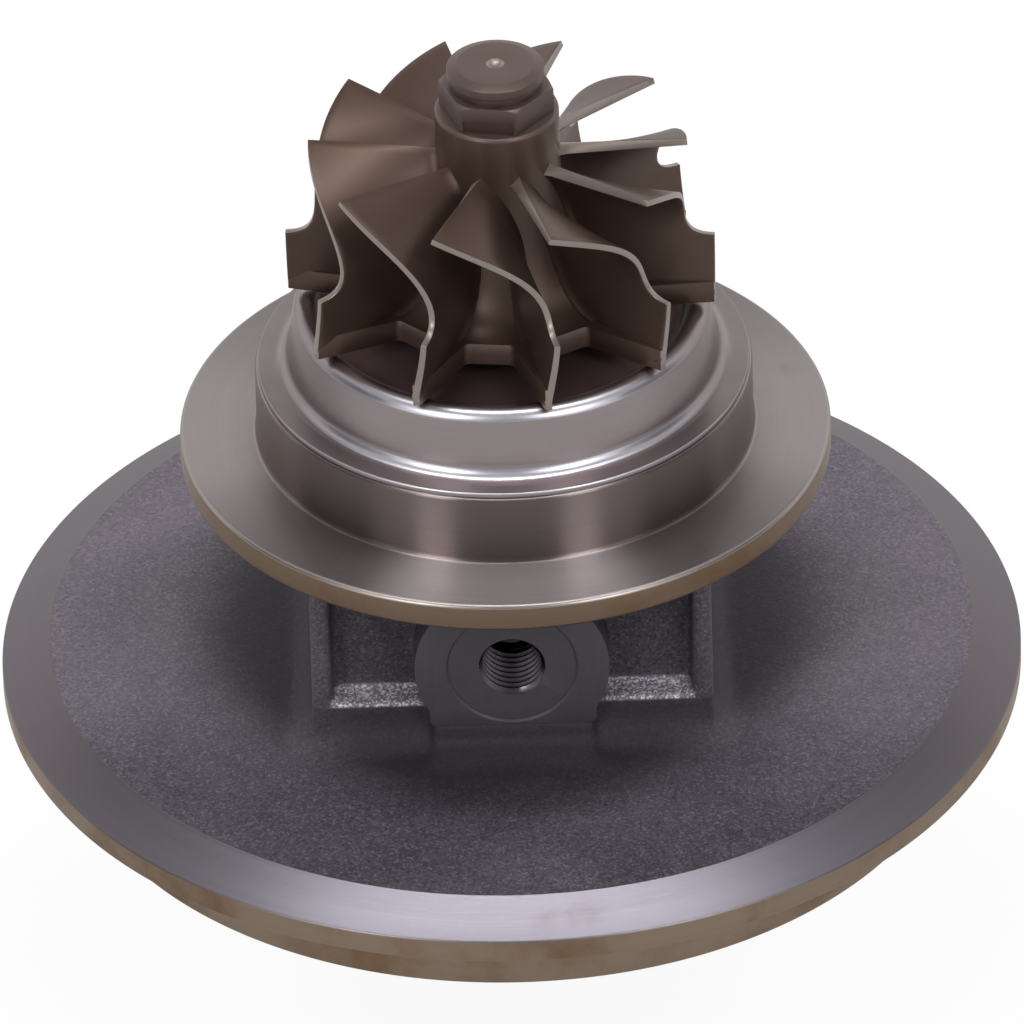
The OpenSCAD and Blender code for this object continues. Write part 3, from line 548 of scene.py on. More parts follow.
class Finish:
    """A material, or a world, that is being wired from an empty tree."""

    def __init__(self, name, kind="materials"):
        self.owner = getattr(bpy.data, kind).new(name)
        self.owner.use_nodes = True
        self.tree = self.owner.node_tree
        self.tree.nodes.clear()

    def node(self, kind, settings=None, inputs=None, output=0):
        """Adds a node: its settings first, then the values or links of its sockets."""
        node = self.tree.nodes.new(kind)
        for key, value in (settings or {}).items():
            setattr(node, key, value)
        for key, value in (inputs or {}).items():
            if isinstance(value, Term):
                self.tree.links.new(value.socket, node.inputs[key])
            else:
                node.inputs[key].default_value = value
        return Term(self, node.outputs[output]) if node.outputs else None

    def place(self, stretch=(1, 1, 1)):
        """Object coordinates in millimetres, stretched."""
        spot = self.node("ShaderNodeTexCoord", output="Object")
        scale = tuple(s / MM for s in stretch)
        return self.node("ShaderNodeVectorMath", {"operation": "MULTIPLY"}, {0: spot, 1: scale})

    def axis(self, place, name):
        """One coordinate of a place."""
        return self.node("ShaderNodeSeparateXYZ", inputs={0: place}, output=name)

    def radius(self, place):
        """Distance from the rotor axis."""
        x, y = self.axis(place, "X"), self.axis(place, "Y")
        return (x * x + y * y).math("SQRT")

    def noise(self, place, scale, detail=2.0, rough=0.5):
        """Soft noise from 0 to 1, its scale in cells per millimetre."""
        return self.node(
            "ShaderNodeTexNoise", {"noise_dimensions": "3D"},
            {"Vector": place, "Scale": scale, "Detail": detail, "Roughness": rough})

    def cells(self, place, scale):
        """A random number for each grain."""
        grains = self.node("ShaderNodeTexVoronoi", inputs={"Vector": place, "Scale": scale}, output="Color")
        return self.node("ShaderNodeSeparateColor", inputs={0: grains})

    def step(self, value, low, high):
        """A soft step from 0 at low to 1 at high."""
        return self.node(
            "ShaderNodeMapRange", {"interpolation_type": "SMOOTHSTEP"},
            {"Value": value, "From Min": low, "From Max": high})

    def front(self, place, low, high):
        """A soft step from low to high towards the oil inlet's side."""
        return self.step(self.axis(place, "Y") * -1, low, high)

    def mix(self, share, first, second):
        """A colour between two."""
        sides = [c if isinstance(c, Term) else (*c, 1) for c in (first, second)]
        return self.node(
            "ShaderNodeMix", {"data_type": "RGBA", "clamp_factor": True},
            {0: share, 6: sides[0], 7: sides[1]}, output=2)

    def bump(self, height, depth, strength=1.0):
        """A normal from a height field whose full range is this deep."""
        return self.node(
            "ShaderNodeBump", inputs={"Strength": strength, "Distance": depth * MM, "Height": height})

    def grooves(self, place, scale):
        """Fine turning marks: noise that changes only along the radius and the axis."""
        lines = self.node(
            "ShaderNodeCombineXYZ", inputs={0: self.radius(place), 1: self.axis(place, "Z")})
        return self.noise(lines, scale, 3, 0.65)

    def metal(self, base, rough, normal=None, metallic=1.0, anisotropic=0.0, rotation=0.0, **more):
        """Ends the material in a metal shader."""
        inputs = {
            "Base Color": base if isinstance(base, Term) else (*base, 1),
            "Roughness": rough,
            "Metallic": metallic,
            "Anisotropic": anisotropic,
            "Anisotropic Rotation": rotation,
            **more,
        }
        if normal:
            inputs["Normal"] = normal
        surface = self.node("ShaderNodeBsdfPrincipled", inputs=inputs)
        self.node("ShaderNodeOutputMaterial", inputs={"Surface": surface})
        return self.owner


def shaded(tone, share):
    """A colour made darker or lighter."""
    return tuple(share * channel for channel in tone)


def ledge(f, place):
    """1 on the ledges beside the oil inlet, which are painted bright with sand grain as a painted highlight
    of the light that falls on them.
    """
    h = bpy.context.scene.cartridge_housing
    height = f.axis(place, "Z") - h.ledge_height / MM
    side = f.axis(place, "X").math("ABSOLUTE")
    rib = (h.body_width / 2 - h.rib_width) / MM
    wall = h.wall_front / MM
    level = f.step(height, -0.9, -0.3) * (1 - f.step(height, 0.4, 1.2))
    between = f.step(side, 15, 17) * (1 - f.step(side, rib - 1, rib + 1))
    return level * between * f.front(place, wall - 1.5, wall)


def cast_skin(finishes):
    """Sand-cast iron: fine soft grain, with painted shade round the body, in front of the oil inlet and in
    the corner at the body's foot, and painted highlights on the ledges.
    """
    f = Finish("cast_iron_skin")
    place = f.place()
    cells = f.cells(place, 2.6)
    grain = f.noise(place, 1.5, 3, 0.6)
    cloud = f.noise(place, 0.045, 4, 0.6)
    # Painted shade: darker in front of the oil inlet, where the face reflects the dark body, and round the
    # body under the flange.
    front = f.front(place, 15, 60)
    # Painted shade in the corner at the body's foot, where it meets the disc.
    foot = (1 - f.step(f.axis(place, "Z"), 17.4, 18.3)) * (1 - f.step(f.radius(place) + 8 * cloud, 50, 66))
    shadowed = (1 - f.step(f.radius(place), 40, 66)).math("MAXIMUM", front)
    speck = f.step(cells, 0.8, 1.0)
    shade = cells * 0.3 + grain * 0.5 + cloud * 0.5 - shadowed * 0.38 - 0.12
    base = f.mix(shade, finishes.cast_dark, finishes.cast_light)
    base = f.mix(speck * 0.14, base, finishes.cast_speck)
    base = f.mix(foot * 0.85, base, finishes.cast_foot_shade)
    # Painted highlight: the ledges take bright sand grain.
    sparkle = f.step(f.cells(place, 3.2) * 0.6 + f.noise(place, 1.8, 2, 0.5) * 0.6, 0.5, 1.0)
    base = f.mix(ledge(f, place) * (0.2 + 1.15 * sparkle), base, finishes.cast_sand_highlight)
    rough = 0.56 + 0.1 * cloud + 0.1 * foot - 0.06 * speck
    normal = f.bump(grain * 0.6 + cells * 0.4, 0.14, 0.8)
    return f.metal(base, rough, normal, metallic=0.3 - 0.3 * foot)


def turned_face(name, base, stain, rough, stained, anisotropic=0.6, sides=None):
    """A turned face: fine rings, long highlights across them, faint stains and maybe painted shade on its
    sides and back.
    """
    f = Finish(name)
    place = f.place()
    rings = f.grooves(place, 2.2)
    wide = f.grooves(place, 0.35)
    cloud = f.noise(place, 0.045, 5, 0.62)
    mark = f.step(cloud, 0.62 - 0.3 * stained, 0.85 - 0.2 * stained)
    dull = shaded(base, 0.7)
    tone = f.mix(rings * 0.5 + wide * 0.5, dull, base)
    # Painted shade: darker towards the sides and back.
    if sides:
        tone = f.mix(1 - f.front(place, 35, 75), tone, sides)
    tone = f.mix(mark * (0.3 + 0.7 * stained), tone, stain)
    roughness = rough + 0.1 * mark + 0.12 * (rings - 0.5)
    normal = f.bump(rings, 0.02, 0.5)
    return f.metal(tone, roughness, normal, anisotropic=anisotropic, rotation=0.25)


def milled_face(finishes):
    """A milled face with faint arcs of the cutter and painted shade at the foot of the inlet boss."""
    f = Finish("milled_port_face")
    place = f.place()
    lines = f.noise(f.place((0.9, 1, 0.08)), 1.3, 2, 0.5)
    grain = f.noise(place, 1.5, 3, 0.6)
    cloud = f.noise(place, 0.09, 4, 0.6)
    # Painted shade: darker towards the foot of the boss.
    low = 1 - f.step(f.axis(place, "Z") + 3 * cloud, 15, 21)
    dull = shaded(finishes.boss, 0.65)
    tone = f.mix(lines * 0.4 + cloud * 0.6, dull, finishes.boss)
    tone = f.mix(low * 0.5, tone, finishes.cast_foot_shade)
    normal = f.bump(lines * (1 - low) + grain * low * 4, 0.02, 0.5)
    return f.metal(tone, 0.42 + 0.2 * cloud, normal, metallic=0.4 - 0.3 * low)


def pressed_steel(finishes):
    """Bright pressed sheet with drawing marks, painted shade on its sides, darker on its flat ring round
    the back, its floor burnt brown.
    """
    f = Finish("shield_sheet")
    place = f.place()
    rings = f.grooves(place, 1.6)
    cloud = f.noise(place, 0.05, 4, 0.6)
    burnt = 1 - f.step(f.radius(place), 29.5, 32.5)
    dull = shaded(finishes.shield, 0.75)
    tone = f.mix(cloud * 0.6 + rings * 0.4, dull, finishes.shield)
    # Painted shade on the sides of the wall, standing in for dark reflections; the flat ring is also darker
    # away from the front.
    side = f.step(f.axis(place, "X").math("ABSOLUTE"), 22, 34) * f.front(place, -6, 6)
    flat = f.step(f.radius(place), 38.5, 40.5) * (1 - f.front(place, 24, 36))
    side_shade_and_dim_ring = side.math("MAXIMUM", flat) * (0.3 + 0.6 * cloud)
    tone = f.mix(side_shade_and_dim_ring, tone, shaded(finishes.shield, 0.4))
    tone = f.mix(burnt, tone, finishes.soot)
    roughness = 0.24 + 0.12 * cloud + 0.06 * rings
    normal = f.bump(rings, 0.012, 0.4)
    return f.metal(tone, roughness, normal, metallic=1 - 0.45 * burnt, anisotropic=0.2, rotation=0.25)


def painted_bend_shine(finishes):
    """Bends of the sheet with a painted highlight: bright at the front and dull round the back."""
    f = Finish("painted_bend_shine")
    place = f.place()
    front = f.front(place, 12, 36)
    tone = f.mix(front, shaded(finishes.shield, 0.7), finishes.polish)
    cloud = f.noise(place, 0.2, 3, 0.6)
    return f.metal(tone, 0.26 + 0.12 * cloud, f.bump(f.grooves(place, 1.6), 0.012, 0.4))


def wheel_skin(name, base, rough):
    """Investment-cast alloy with a fine satin skin and a brown heat tint."""
    f = Finish(name)
    place = f.place()
    fine = f.noise(place, 4.0, 2, 0.5)
    cloud = f.noise(place, 0.07, 4, 0.6)
    tint = tuple(c * s for c, s in zip(base, (0.7, 0.62, 0.58)))
    tone = f.mix(cloud * 0.8 + fine * 0.2, tint, base)
    return f.metal(tone, rough + 0.12 * cloud, f.bump(fine, 0.03, 0.35), metallic=0.7,
                   **{"Coat Weight": 0.2, "Coat Roughness": 0.28})


def milled_alloy(finishes):
    """Aluminium milled from the solid, with fine cutter rows."""
    f = Finish("milled_alloy")
    place = f.place()
    rows = f.grooves(place, 1.4)
    cloud = f.noise(place, 0.08, 3, 0.5)
    dull = shaded(finishes.light_alloy, 0.8)
    tone = f.mix(rows * 0.5 + cloud * 0.5, dull, finishes.light_alloy)
    return f.metal(tone, 0.28 + 0.12 * cloud, f.bump(rows, 0.02, 0.5))


def ground_metal(name, base, rough):
    """Ground metal with fine rings, for the shaft and the parts on it."""
    f = Finish(name)
    place = f.place()
    rings = f.grooves(place, 3.0)
    cloud = f.noise(place, 0.1, 3, 0.5)
    dull = shaded(base, 0.75)
    tone = f.mix(rings * 0.5 + cloud * 0.5, dull, base)
    return f.metal(tone, rough + 0.1 * cloud, f.bump(rings, 0.01, 0.4))


def rubber(finishes):
    """Black rubber with a faint bloom."""
    f = Finish("o_ring_rubber")
    cloud = f.noise(f.place(), 0.4, 3, 0.6)
    pale = shaded(finishes.rubber, 2)
    return f.metal(f.mix(cloud, finishes.rubber, pale), 0.5 + 0.2 * cloud, metallic=0.0)


MAKERS = {
    "cast": cast_skin,
    "band": lambda c: turned_face("machined_band", c.band, c.stain, 0.36, 0.15, 0.1, c.band_side_shade),
    "rim": lambda c: turned_face("turned_rim", c.rim, c.stain, 0.38, 0.6),
    "flange_rim": lambda c: turned_face("turned_flange_rim", c.flange_rim, c.stain, 0.38, 0.5),
    "flange": lambda c: turned_face("turned_flange", c.flange, c.stain, 0.32, 0.1, 1.0),
    "pilot": lambda c: turned_face("turned_pilot", c.pilot, c.stain, 0.32, 0.25, 1.0),
    "boss": milled_face,
    "thread": lambda c: ground_metal("tapped_thread", c.thread, 0.22),
    "shield": pressed_steel,
    "polish": painted_bend_shine,
    "wheel": lambda c: wheel_skin("cast_wheel_alloy", c.wheel, 0.36),
    "edge": lambda c: wheel_skin("ground_edge_and_highlight", c.wheel_edge_and_highlight, 0.3),
    "scallop": lambda c: wheel_skin("ground_scallop", c.scallop, 0.34),
    "nose": lambda c: wheel_skin("turned_wheel_nose", c.nose, 0.36),
    "worn": lambda c: ground_metal("worn_edge", c.worn, 0.28),
    "alloy": milled_alloy,
    "steel": lambda c: ground_metal("ground_steel", c.steel, 0.25),
    "bronze": lambda c: ground_metal("bearing_bronze", c.bronze, 0.3),
    "rubber": rubber,
}
MADE = {}


def finish(name):
    """A finish by its short name, made when it is first needed."""
    if name not in MADE:
        MADE[name] = MAKERS[name](bpy.context.scene.cartridge_finishes)
    return MADE[name]


def paint(piece, names, choice=None):
    """Gives a piece its finishes. choice names the one that a face takes, or all take the first."""
    piece.data.materials.clear()
    for name in names:
        piece.data.materials.append(finish(name))
    for face in piece.data.polygons:
        face.material_index = names.index(choice(face.center, face.normal)) if choice else 0
    return piece


def carry(piece, body, slot, *nodes):
    """Lets a piece ride on its body and stand for CAD nodes, which it hides. slot is not used."""
    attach(piece, body)
    if nodes:
        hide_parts(*nodes)


def reach(x, y):
    """Distance from an axis."""
    return math.hypot(x, y)


def polar(radius, angle, height):
    """A place by its radius, its angle and its height."""
    return Vector((radius * math.cos(angle), radius * math.sin(angle), height))


# Pieces


class CARTRIDGE_OT_housing_disc(Operator):
    """Turn the large disc with its rim, machined band, cast face, spigot and recesses"""

    bl_idname = "cartridge.housing_disc"
    bl_label = "Housing disc"

    def execute(self, context):
        h = context.scene.cartridge_housing
        disc = HOUSING_HIGH.x
        band_top = h.rim_height + h.band_rise
        band_in = disc - h.band_width
        slope = h.dish_rise / (band_in - h.core_foot)
        inner_top = band_top + slope * (band_in - h.core_radius)
        snap = 1.4 * MM
        snap_low, snap_high = -8.8 * MM, -7.6 * MM
        outline = rounded([
            (h.core_radius, h.oil_room_roof, 0),
            (h.oil_room_radius, h.oil_room_roof, 0.5 * MM),
            (h.oil_room_radius, -h.pocket_roof, 0),
            (h.pocket_radius, -h.pocket_roof, 0),
            (h.pocket_radius, snap_high, 0),
            (h.pocket_radius + snap, snap_high, 0),
            (h.pocket_radius + snap, snap_low, 0),
            (h.pocket_radius, snap_low, 0),
            (h.pocket_radius, -h.recess_roof, 0.3 * MM),
            (h.recess_radius, -h.recess_roof, 0.5 * MM),
            (h.recess_radius, HOUSING_LOW.z, 0.4 * MM),
            (h.spigot_radius, HOUSING_LOW.z, 0.6 * MM),
            (h.spigot_radius, 0, 0.5 * MM),
            (disc, 0, 0.5 * MM),
            (disc, h.rim_height, 0.5 * MM),
            (band_in, band_top, 0.3 * MM),
            (h.core_radius, inner_top, 0)])
        piece = lathe("housing_disc", outline, 240)

        def choice(centre, normal):
            if normal.z <= 0.5:
                return "rim"
            return "cast" if reach(centre.x, centre.y) < band_in - 0.1 * MM else "band"

        paint(piece, ["cast", "band", "rim"], choice)
        carry(piece, "housing", "housing_iron", "bearing_housing")
        return {"FINISHED"}


class CARTRIDGE_OT_turbine_flange(Operator):
    """Turn the turbine flange with its pilot, seal nose and bearing bore"""

    bl_idname = "cartridge.turbine_flange"
    bl_label = "Turbine flange"

    def execute(self, context):
        h = context.scene.cartridge_housing
        top = h.flange_base + h.flange_thickness
        pilot_top = top + h.pilot_height
        break_edge = 0.55 * MM
        outline = rounded([
            (h.core_radius, h.oil_room_roof, 0),
            (h.core_radius, h.flange_base, 0),
            (h.flange_radius, h.flange_base, break_edge),
            (h.flange_radius, top, 0.9 * MM),
            (h.pilot_radius, top, 0.8 * MM),
            (h.pilot_radius, pilot_top, break_edge),
            (h.nose_radius, pilot_top, 0.8 * MM),
            (h.nose_radius, HOUSING_HIGH.z, break_edge),
            (h.seal_bore_radius, HOUSING_HIGH.z, 0.3 * MM),
            (h.seal_bore_radius, h.seal_bore_base, 0),
            (h.bore_radius, h.seal_bore_base, 0.2 * MM),
            (h.bore_radius, h.collar_room_top, 0.2 * MM),
            (h.collar_room_radius, h.collar_room_top, 0),
            (h.collar_room_radius, h.oil_room_roof, 0)])
        piece = lathe("housing_flange", outline, 240)

        def choice(centre, normal):
            out = reach(centre.x, centre.y)
            upright = abs(normal.z) < 0.75
            if out > h.flange_radius - MM and 0.35 < normal.z < 0.95:
                return "worn"
            if upright and out > h.flange_radius - 0.3 * MM:
                return "flange_rim"
            # The pilot wall takes the darker pilot finish, a painted shade.
            if upright and abs(out - h.pilot_radius) < 0.7 * MM and centre.z > top:
                return "pilot"
            return "flange" if centre.z > h.flange_base + 0.1 * MM else "cast"

        paint(piece, ["flange", "flange_rim", "cast", "pilot", "worn"], choice)
        carry(piece, "housing", "housing_iron", "bearing_housing")
        return {"FINISHED"}


class CARTRIDGE_OT_housing_casting(Operator):
    """Cast the body between disc and flange: walls, ribs, ledges and fillets as one rounded skin"""

    bl_idname = "cartridge.housing_casting"
    bl_label = "Housing casting"

    def execute(self, context):
        h = context.scene.cartridge_housing
        p = context.scene.cartridge_ports
        half = h.body_width / 2
        foot = h.rim_height + h.band_rise + 0.6 * MM
        roof = h.flange_base + 0.6 * MM
        inset = 0.35 * MM
        face = p.inlet_face - p.spot_depth - MM
        deep = 15 * MM
        solids = [
            block("wall", (-half, -h.wall_front, foot), (half, h.wall_back, roof), h.corner),
            block("ledge", (-half, -h.ledge_front, foot), (half, h.wall_back, h.ledge_height), h.corner)]
        for side in (-1, 1):
            low, high = sorted((side * half, side * (half - h.rib_width)))
            solids.append(block("rib", (low, -h.ledge_front, foot), (high, -h.wall_front + h.corner, roof)))
        solids.append(drill(
            "boss", p.boss_radius - inset, (0, -face, p.inlet_height),
            (0, deep - face, p.inlet_height), 96))
        pedestal = p.pedestal_width / 2 - inset
        fore = p.inlet_face + 0.3 * MM
        shoulder = p.pedestal_edge + 3 * MM
        solids.append(plate(
            "pedestal",
            [(deep - face, foot), (-fore - p.pedestal_toe, foot), (-fore, p.pedestal_edge),
             (-fore, shoulder), (-face, shoulder + MM), (-face, p.inlet_height),
             (deep - face, p.inlet_height)],
            (2 * pedestal, 0, 0), lambda y, z: Vector((-pedestal, y, z))))
        pad_x, pad_z = p.pad_width / 2 - inset, p.pad_height / 2 - inset
        solids.append(block(
            "pad", (-pad_x, 0, p.drain_height - pad_z),
            (pad_x, p.drain_face - inset, p.drain_height + pad_z)))
        solids += self.foot_fillet(h, half, foot)
        solids += [self.dish_skirt(h), self.flange_skirt(h)]
        piece = joined("housing_casting", solids)
        finish_with(piece, "REMESH", mode="VOXEL", voxel_size=h.grain, adaptivity=0.0)
        finish_with(piece, "SMOOTH", factor=0.5, iterations=8)
        self.bore(piece, h, p)
        smooth(piece, CAST_SMOOTH_ANGLE)
        paint(piece, ["cast"])
        carry(piece, "housing", "housing_iron", "bearing_housing")
        return {"FINISHED"}

    def foot_fillet(self, h, half, foot):
        """Low slabs round the body's foot, which the smoothing turns into a casting fillet."""
        radius = 7 * MM
        rest = h.rim_height + h.band_rise + 0.6 * h.dish_rise
        slabs = []
        for share in (0.05, 0.12, 0.22, 0.36, 0.55, 0.8):
            out = share * radius
            rise = radius - math.sqrt(radius**2 - (radius - out)**2)
            slabs.append(block(
                "slab", (-half - out, -h.ledge_front - out, foot - MM),
                (half + out, h.wall_back + out, rest + rise), h.corner + out))
        return slabs

    def dish_skirt(self, h):
        """A low cone that meets the disc's cast face without a step."""
        band_in = HOUSING_HIGH.x - h.band_width
        top = h.rim_height + h.band_rise
        slope = h.dish_rise / (band_in - h.core_foot)
        near, far = 44 * MM, 60 * MM
        lift = 0.25 * MM
        low = top - 1.5 * MM
        return lathe("skirt", [
            (0, low), (far, low), (far, top + slope * (band_in - far) - lift),
            (near, top + slope * (band_in - near) + lift), (h.core_radius, top + h.dish_rise + 2 * MM),
            (0, top + h.dish_rise + 2 * MM)], 96, closed=False)

    def flange_skirt(self, h):
        """A low cone under the flange."""
        roof = h.flange_base + 0.6 * MM
        return lathe("collar", [
            (0, h.flange_base - 4 * MM), (h.core_radius + 12 * MM, h.flange_base - 3 * MM),
            (50 * MM, h.flange_base + 0.2 * MM), (50 * MM, roof), (0, roof)], 96, closed=False)

    def bore(self, piece, h, p):
        """Opens the casting for the bearing bore and the oil ports."""
        cut(piece, drill("bar", h.core_radius - 0.5 * MM, (0, 0, 0), (0, 0, 60 * MM)))
        room = 1.6 * MM
        cut(piece, drill(
            "bar", p.tap_radius + room, (0, -p.inlet_face - MM, p.inlet_height),
            (0, p.tap_depth + 4 * MM - p.inlet_face, p.inlet_height)))
        cut(piece, drill(
            "bar", p.drain_radius + room, (0, p.drain_face + MM, p.drain_height),
            (0, p.drain_face - p.drain_depth - MM, p.drain_height)))
        for side in (-1, 1):
            x = side * p.bolt_span / 2
            cut(piece, drill(
                "bar", p.bolt_radius + room, (x, p.drain_face + MM, p.drain_height),
                (x, p.drain_face - p.bolt_depth - 4 * MM, p.drain_height)))


class CARTRIDGE_OT_oil_inlet(Operator):
    """Mill the oil-inlet face with its spot face and tapped hole"""

    bl_idname = "cartridge.oil_inlet"
    bl_label = "Oil inlet"

    def execute(self, context):
        p = context.scene.cartridge_ports
        half = p.pedestal_width / 2
        lean = math.degrees(math.asin(half / p.boss_radius))
        outline = arc((0, p.inlet_height), p.boss_radius, -90 + lean, 270 - lean, 60)
        low = p.pedestal_edge + p.face_lift
        outline += rounded([
            (-half, p.inlet_height, 0), (-half, low, 1.2 * MM), (half, low, 1.2 * MM),
            (half, p.inlet_height, 0)])[1:-1]
        piece = plate(
            "oil_inlet_boss", outline, (0, 22 * MM, 0), lambda x, z: Vector((x, -p.inlet_face, z)))
        bevel(piece, 0.8 * MM, segments=3)
        upright = Matrix.Translation((0, -p.inlet_face, p.inlet_height)) @ Matrix.Rotation(TURN / 4, 4, "X")
        mouth = 0.6 * MM
        chamfer = 0.35 * MM
        cut(piece, settle(lathe("spot", [
            (0, MM), (p.spot_radius + chamfer, MM), (p.spot_radius + chamfer, 0),
            (p.spot_radius, -chamfer), (p.spot_radius, -p.spot_depth),
            (p.tap_radius + mouth, -p.spot_depth), (p.tap_radius - 0.1 * MM, -p.spot_depth - 1.2 * mouth),
            (p.tap_radius - 0.1 * MM, -p.tap_depth), (0, -p.tap_depth - 0.6 * p.tap_radius)],
            96, closed=False), upright))
        cut(piece, tap("tap", p.tap_radius, p.tap_pitch, p.tap_depth - 2 * MM, upright))
        smooth(piece)
        edge = -p.inlet_face + p.spot_depth + 0.1 * MM
        paint(piece, ["boss", "cast", "thread"], lambda c, n: self.zone(c, p, edge))
        carry(piece, "housing", "housing_iron", "bearing_housing")
        return {"FINISHED"}

    def zone(self, centre, p, edge):
        """Milled front, cast sides and a bright thread."""
        out = reach(centre.x, centre.z - p.inlet_height)
        if centre.y < edge:
            return "boss"
        return "thread" if out < p.tap_radius + 1.2 * MM else "cast"


class CARTRIDGE_OT_oil_drain(Operator):
    """Mill the drain pad with its bore and two tapped bolt holes"""

    bl_idname = "cartridge.oil_drain"
    bl_label = "Oil drain"

    def execute(self, context):
        p = context.scene.cartridge_ports
        x = p.pad_width / 2
        low, high = p.drain_height - p.pad_height / 2, p.drain_height + p.pad_height / 2
        corner = 5 * MM
        thick = 26 * MM
        outline = rounded([
            (-x, low, corner), (x, low, corner), (x, high, corner), (-x, high, corner)], 8)
        piece = plate(
            "oil_drain_pad", outline, (0, -thick, 0), lambda u, v: Vector((u, p.drain_face, v)))
        bevel(piece, 0.5 * MM, segments=3)
        upright = Matrix.Translation((0, p.drain_face, p.drain_height)) @ Matrix.Rotation(-TURN / 4, 4, "X")
        chamfer = 0.8 * MM
        cut(piece, settle(lathe("bore", [
            (0, MM), (p.drain_radius + chamfer, MM), (p.drain_radius + chamfer, 0),
            (p.drain_radius, -chamfer), (p.drain_radius, -p.drain_depth),
            (0, -p.drain_depth - 2 * MM)], 96, closed=False), upright))
        mouth = 0.9 * MM
        for side in (-1, 1):
            spot = Matrix.Translation((side * p.bolt_span / 2, 0, 0)) @ upright
            cut(piece, settle(lathe("hole", [
                (0, MM), (p.bolt_radius + mouth, MM), (p.bolt_radius + mouth, 0),
                (p.bolt_radius - 0.1 * MM, -1.2 * mouth), (p.bolt_radius - 0.1 * MM, -p.bolt_depth),
                (0, -p.bolt_depth - 0.6 * p.bolt_radius)], 64, closed=False), spot))
            cut(piece, tap("tap", p.bolt_radius, p.bolt_pitch, p.bolt_depth - 2 * MM, spot))
        smooth(piece)
        front = p.drain_face - 0.3 * MM
        holes = 12 * MM

        def choice(centre, normal):
            return "boss" if centre.y > front or abs(centre.z - p.drain_height) < holes else "cast"

        paint(piece, ["boss", "cast"], choice)
        carry(piece, "housing", "housing_iron", "bearing_housing")
        return {"FINISHED"}


class CARTRIDGE_OT_heat_shield(Operator):
    """Press the heat shield: a cup with a rolled lip and a dished floor"""

    bl_idname = "cartridge.heat_shield"
    bl_label = "Heat shield"

    def execute(self, context):
        s = context.scene.cartridge_shield
        foot, top = SHIELD_LOW.z, SHIELD_HIGH.z
        flange = SHIELD_HIGH.x
        lip = (s.wall_radius - s.draft - s.lip, top - s.lip)
        floor = top - s.dish
        slope = lip[0] - s.lip - s.slope
        edge = 0.3 * MM
        outer = rounded([
            (flange - 4 * MM, foot, 0), (flange, foot, edge), (flange, foot + s.sheet, edge),
            (flange - 4 * MM, foot + s.sheet, 0)])[1:-1]
        outer += arc((s.wall_radius + s.bend, foot + s.sheet + s.bend), s.bend, 270, 180, 8)
        outer += arc(lip, s.lip, 3, 150, 16)
        outer += curve(
            [(slope + 1.2 * MM, floor + 0.5 * MM), (slope + 0.5 * MM, floor + 0.05 * MM),
             (slope, floor), (slope - MM, floor)], 6)
        inner = [Vector((s.hole_radius, floor)), Vector((s.hole_radius, floor - s.sheet))]
        inner += [Vector((slope - s.sheet / 2, floor - s.sheet))]
        inner += arc(lip, s.lip - s.sheet, 150, 3, 10)
        inner += [
            Vector((s.wall_radius - s.sheet, foot + s.sheet + s.bend)),
            Vector((s.wall_radius - s.sheet, foot))]
        piece = lathe("shield_cup", outer + inner, 240)
        bend_top = foot + s.sheet + s.bend

        def choice(centre, normal):
            out = centre.x * normal.x + centre.y * normal.y > 0
            bent = centre.z < bend_top or centre.z > lip[1]
            # Bends facing up and out take the painted highlight.
            return "polish" if out and bent and 0.4 < normal.z < 0.9 else "shield"

        paint(piece, ["shield", "polish"], choice)
        carry(piece, "housing", "shield_steel", "heat_shield")
        return {"FINISHED"}


def fillet_flare(gap, radius):
    """How far a round fillet stands out at a distance from the wall."""
    if gap >= radius:
        return 0.0
    depth = radius - max(gap, 0)
    return radius - math.sqrt(radius * radius - depth * depth)


def blade(point, gap, start, grid, thickness, fillet, skins):
    """A blade: a grid laid on the blade surface, thickened from tip to root and given a root fillet.

    point gives the place at s along and t across the blade, and gap the distance there from the hub.
    The wall swells from the inlet edge on, and the fillet fades at the outlet. skins are the finishes
    of the faces and of the edges.
    """
    deselect()
    bpy.ops.mesh.primitive_grid_add(x_subdivisions=grid[0], y_subdivisions=grid[1], size=1)
    piece = named("blade")
    root, tip = thickness
    full = root + 2 * fillet
    group = piece.vertex_groups.new(name="thickness")
    for vertex in piece.data.vertices:
        s = start + (1 - start) * (vertex.co.x + 0.5)
        t = (vertex.co.y + 0.5) ** 1.5
        flare = 2 * fillet_flare(gap(s, t) + 0.2 * fillet, fillet) * (1 - 0.7 * s**8)
        swell = min(0.2 + 5 * s, 1)
        wall = tip + (root - tip) * (1 - t) * swell + flare * swell
        group.add([vertex.index], wall / full, "REPLACE")
        vertex.co = point(s, t)
    for name in skins:
        piece.data.materials.append(finish(name))
    finish_with(
        piece, "SOLIDIFY", thickness=full, offset=0.0, vertex_group="thickness", use_rim=True,
        material_offset_rim=1, use_even_offset=False)
    return bevel(piece, 0.22 * MM)


def nearest(line, spot):
    """The nearest place to a point on a row of straight runs."""
    places = []
    for here, there in zip(line, line[1:]):
        run = there - here
        share = min(max((spot - here).dot(run) / run.length_squared, 0), 1)
        places.append(here + run * share)
    return min(places, key=lambda place: (spot - place).length)


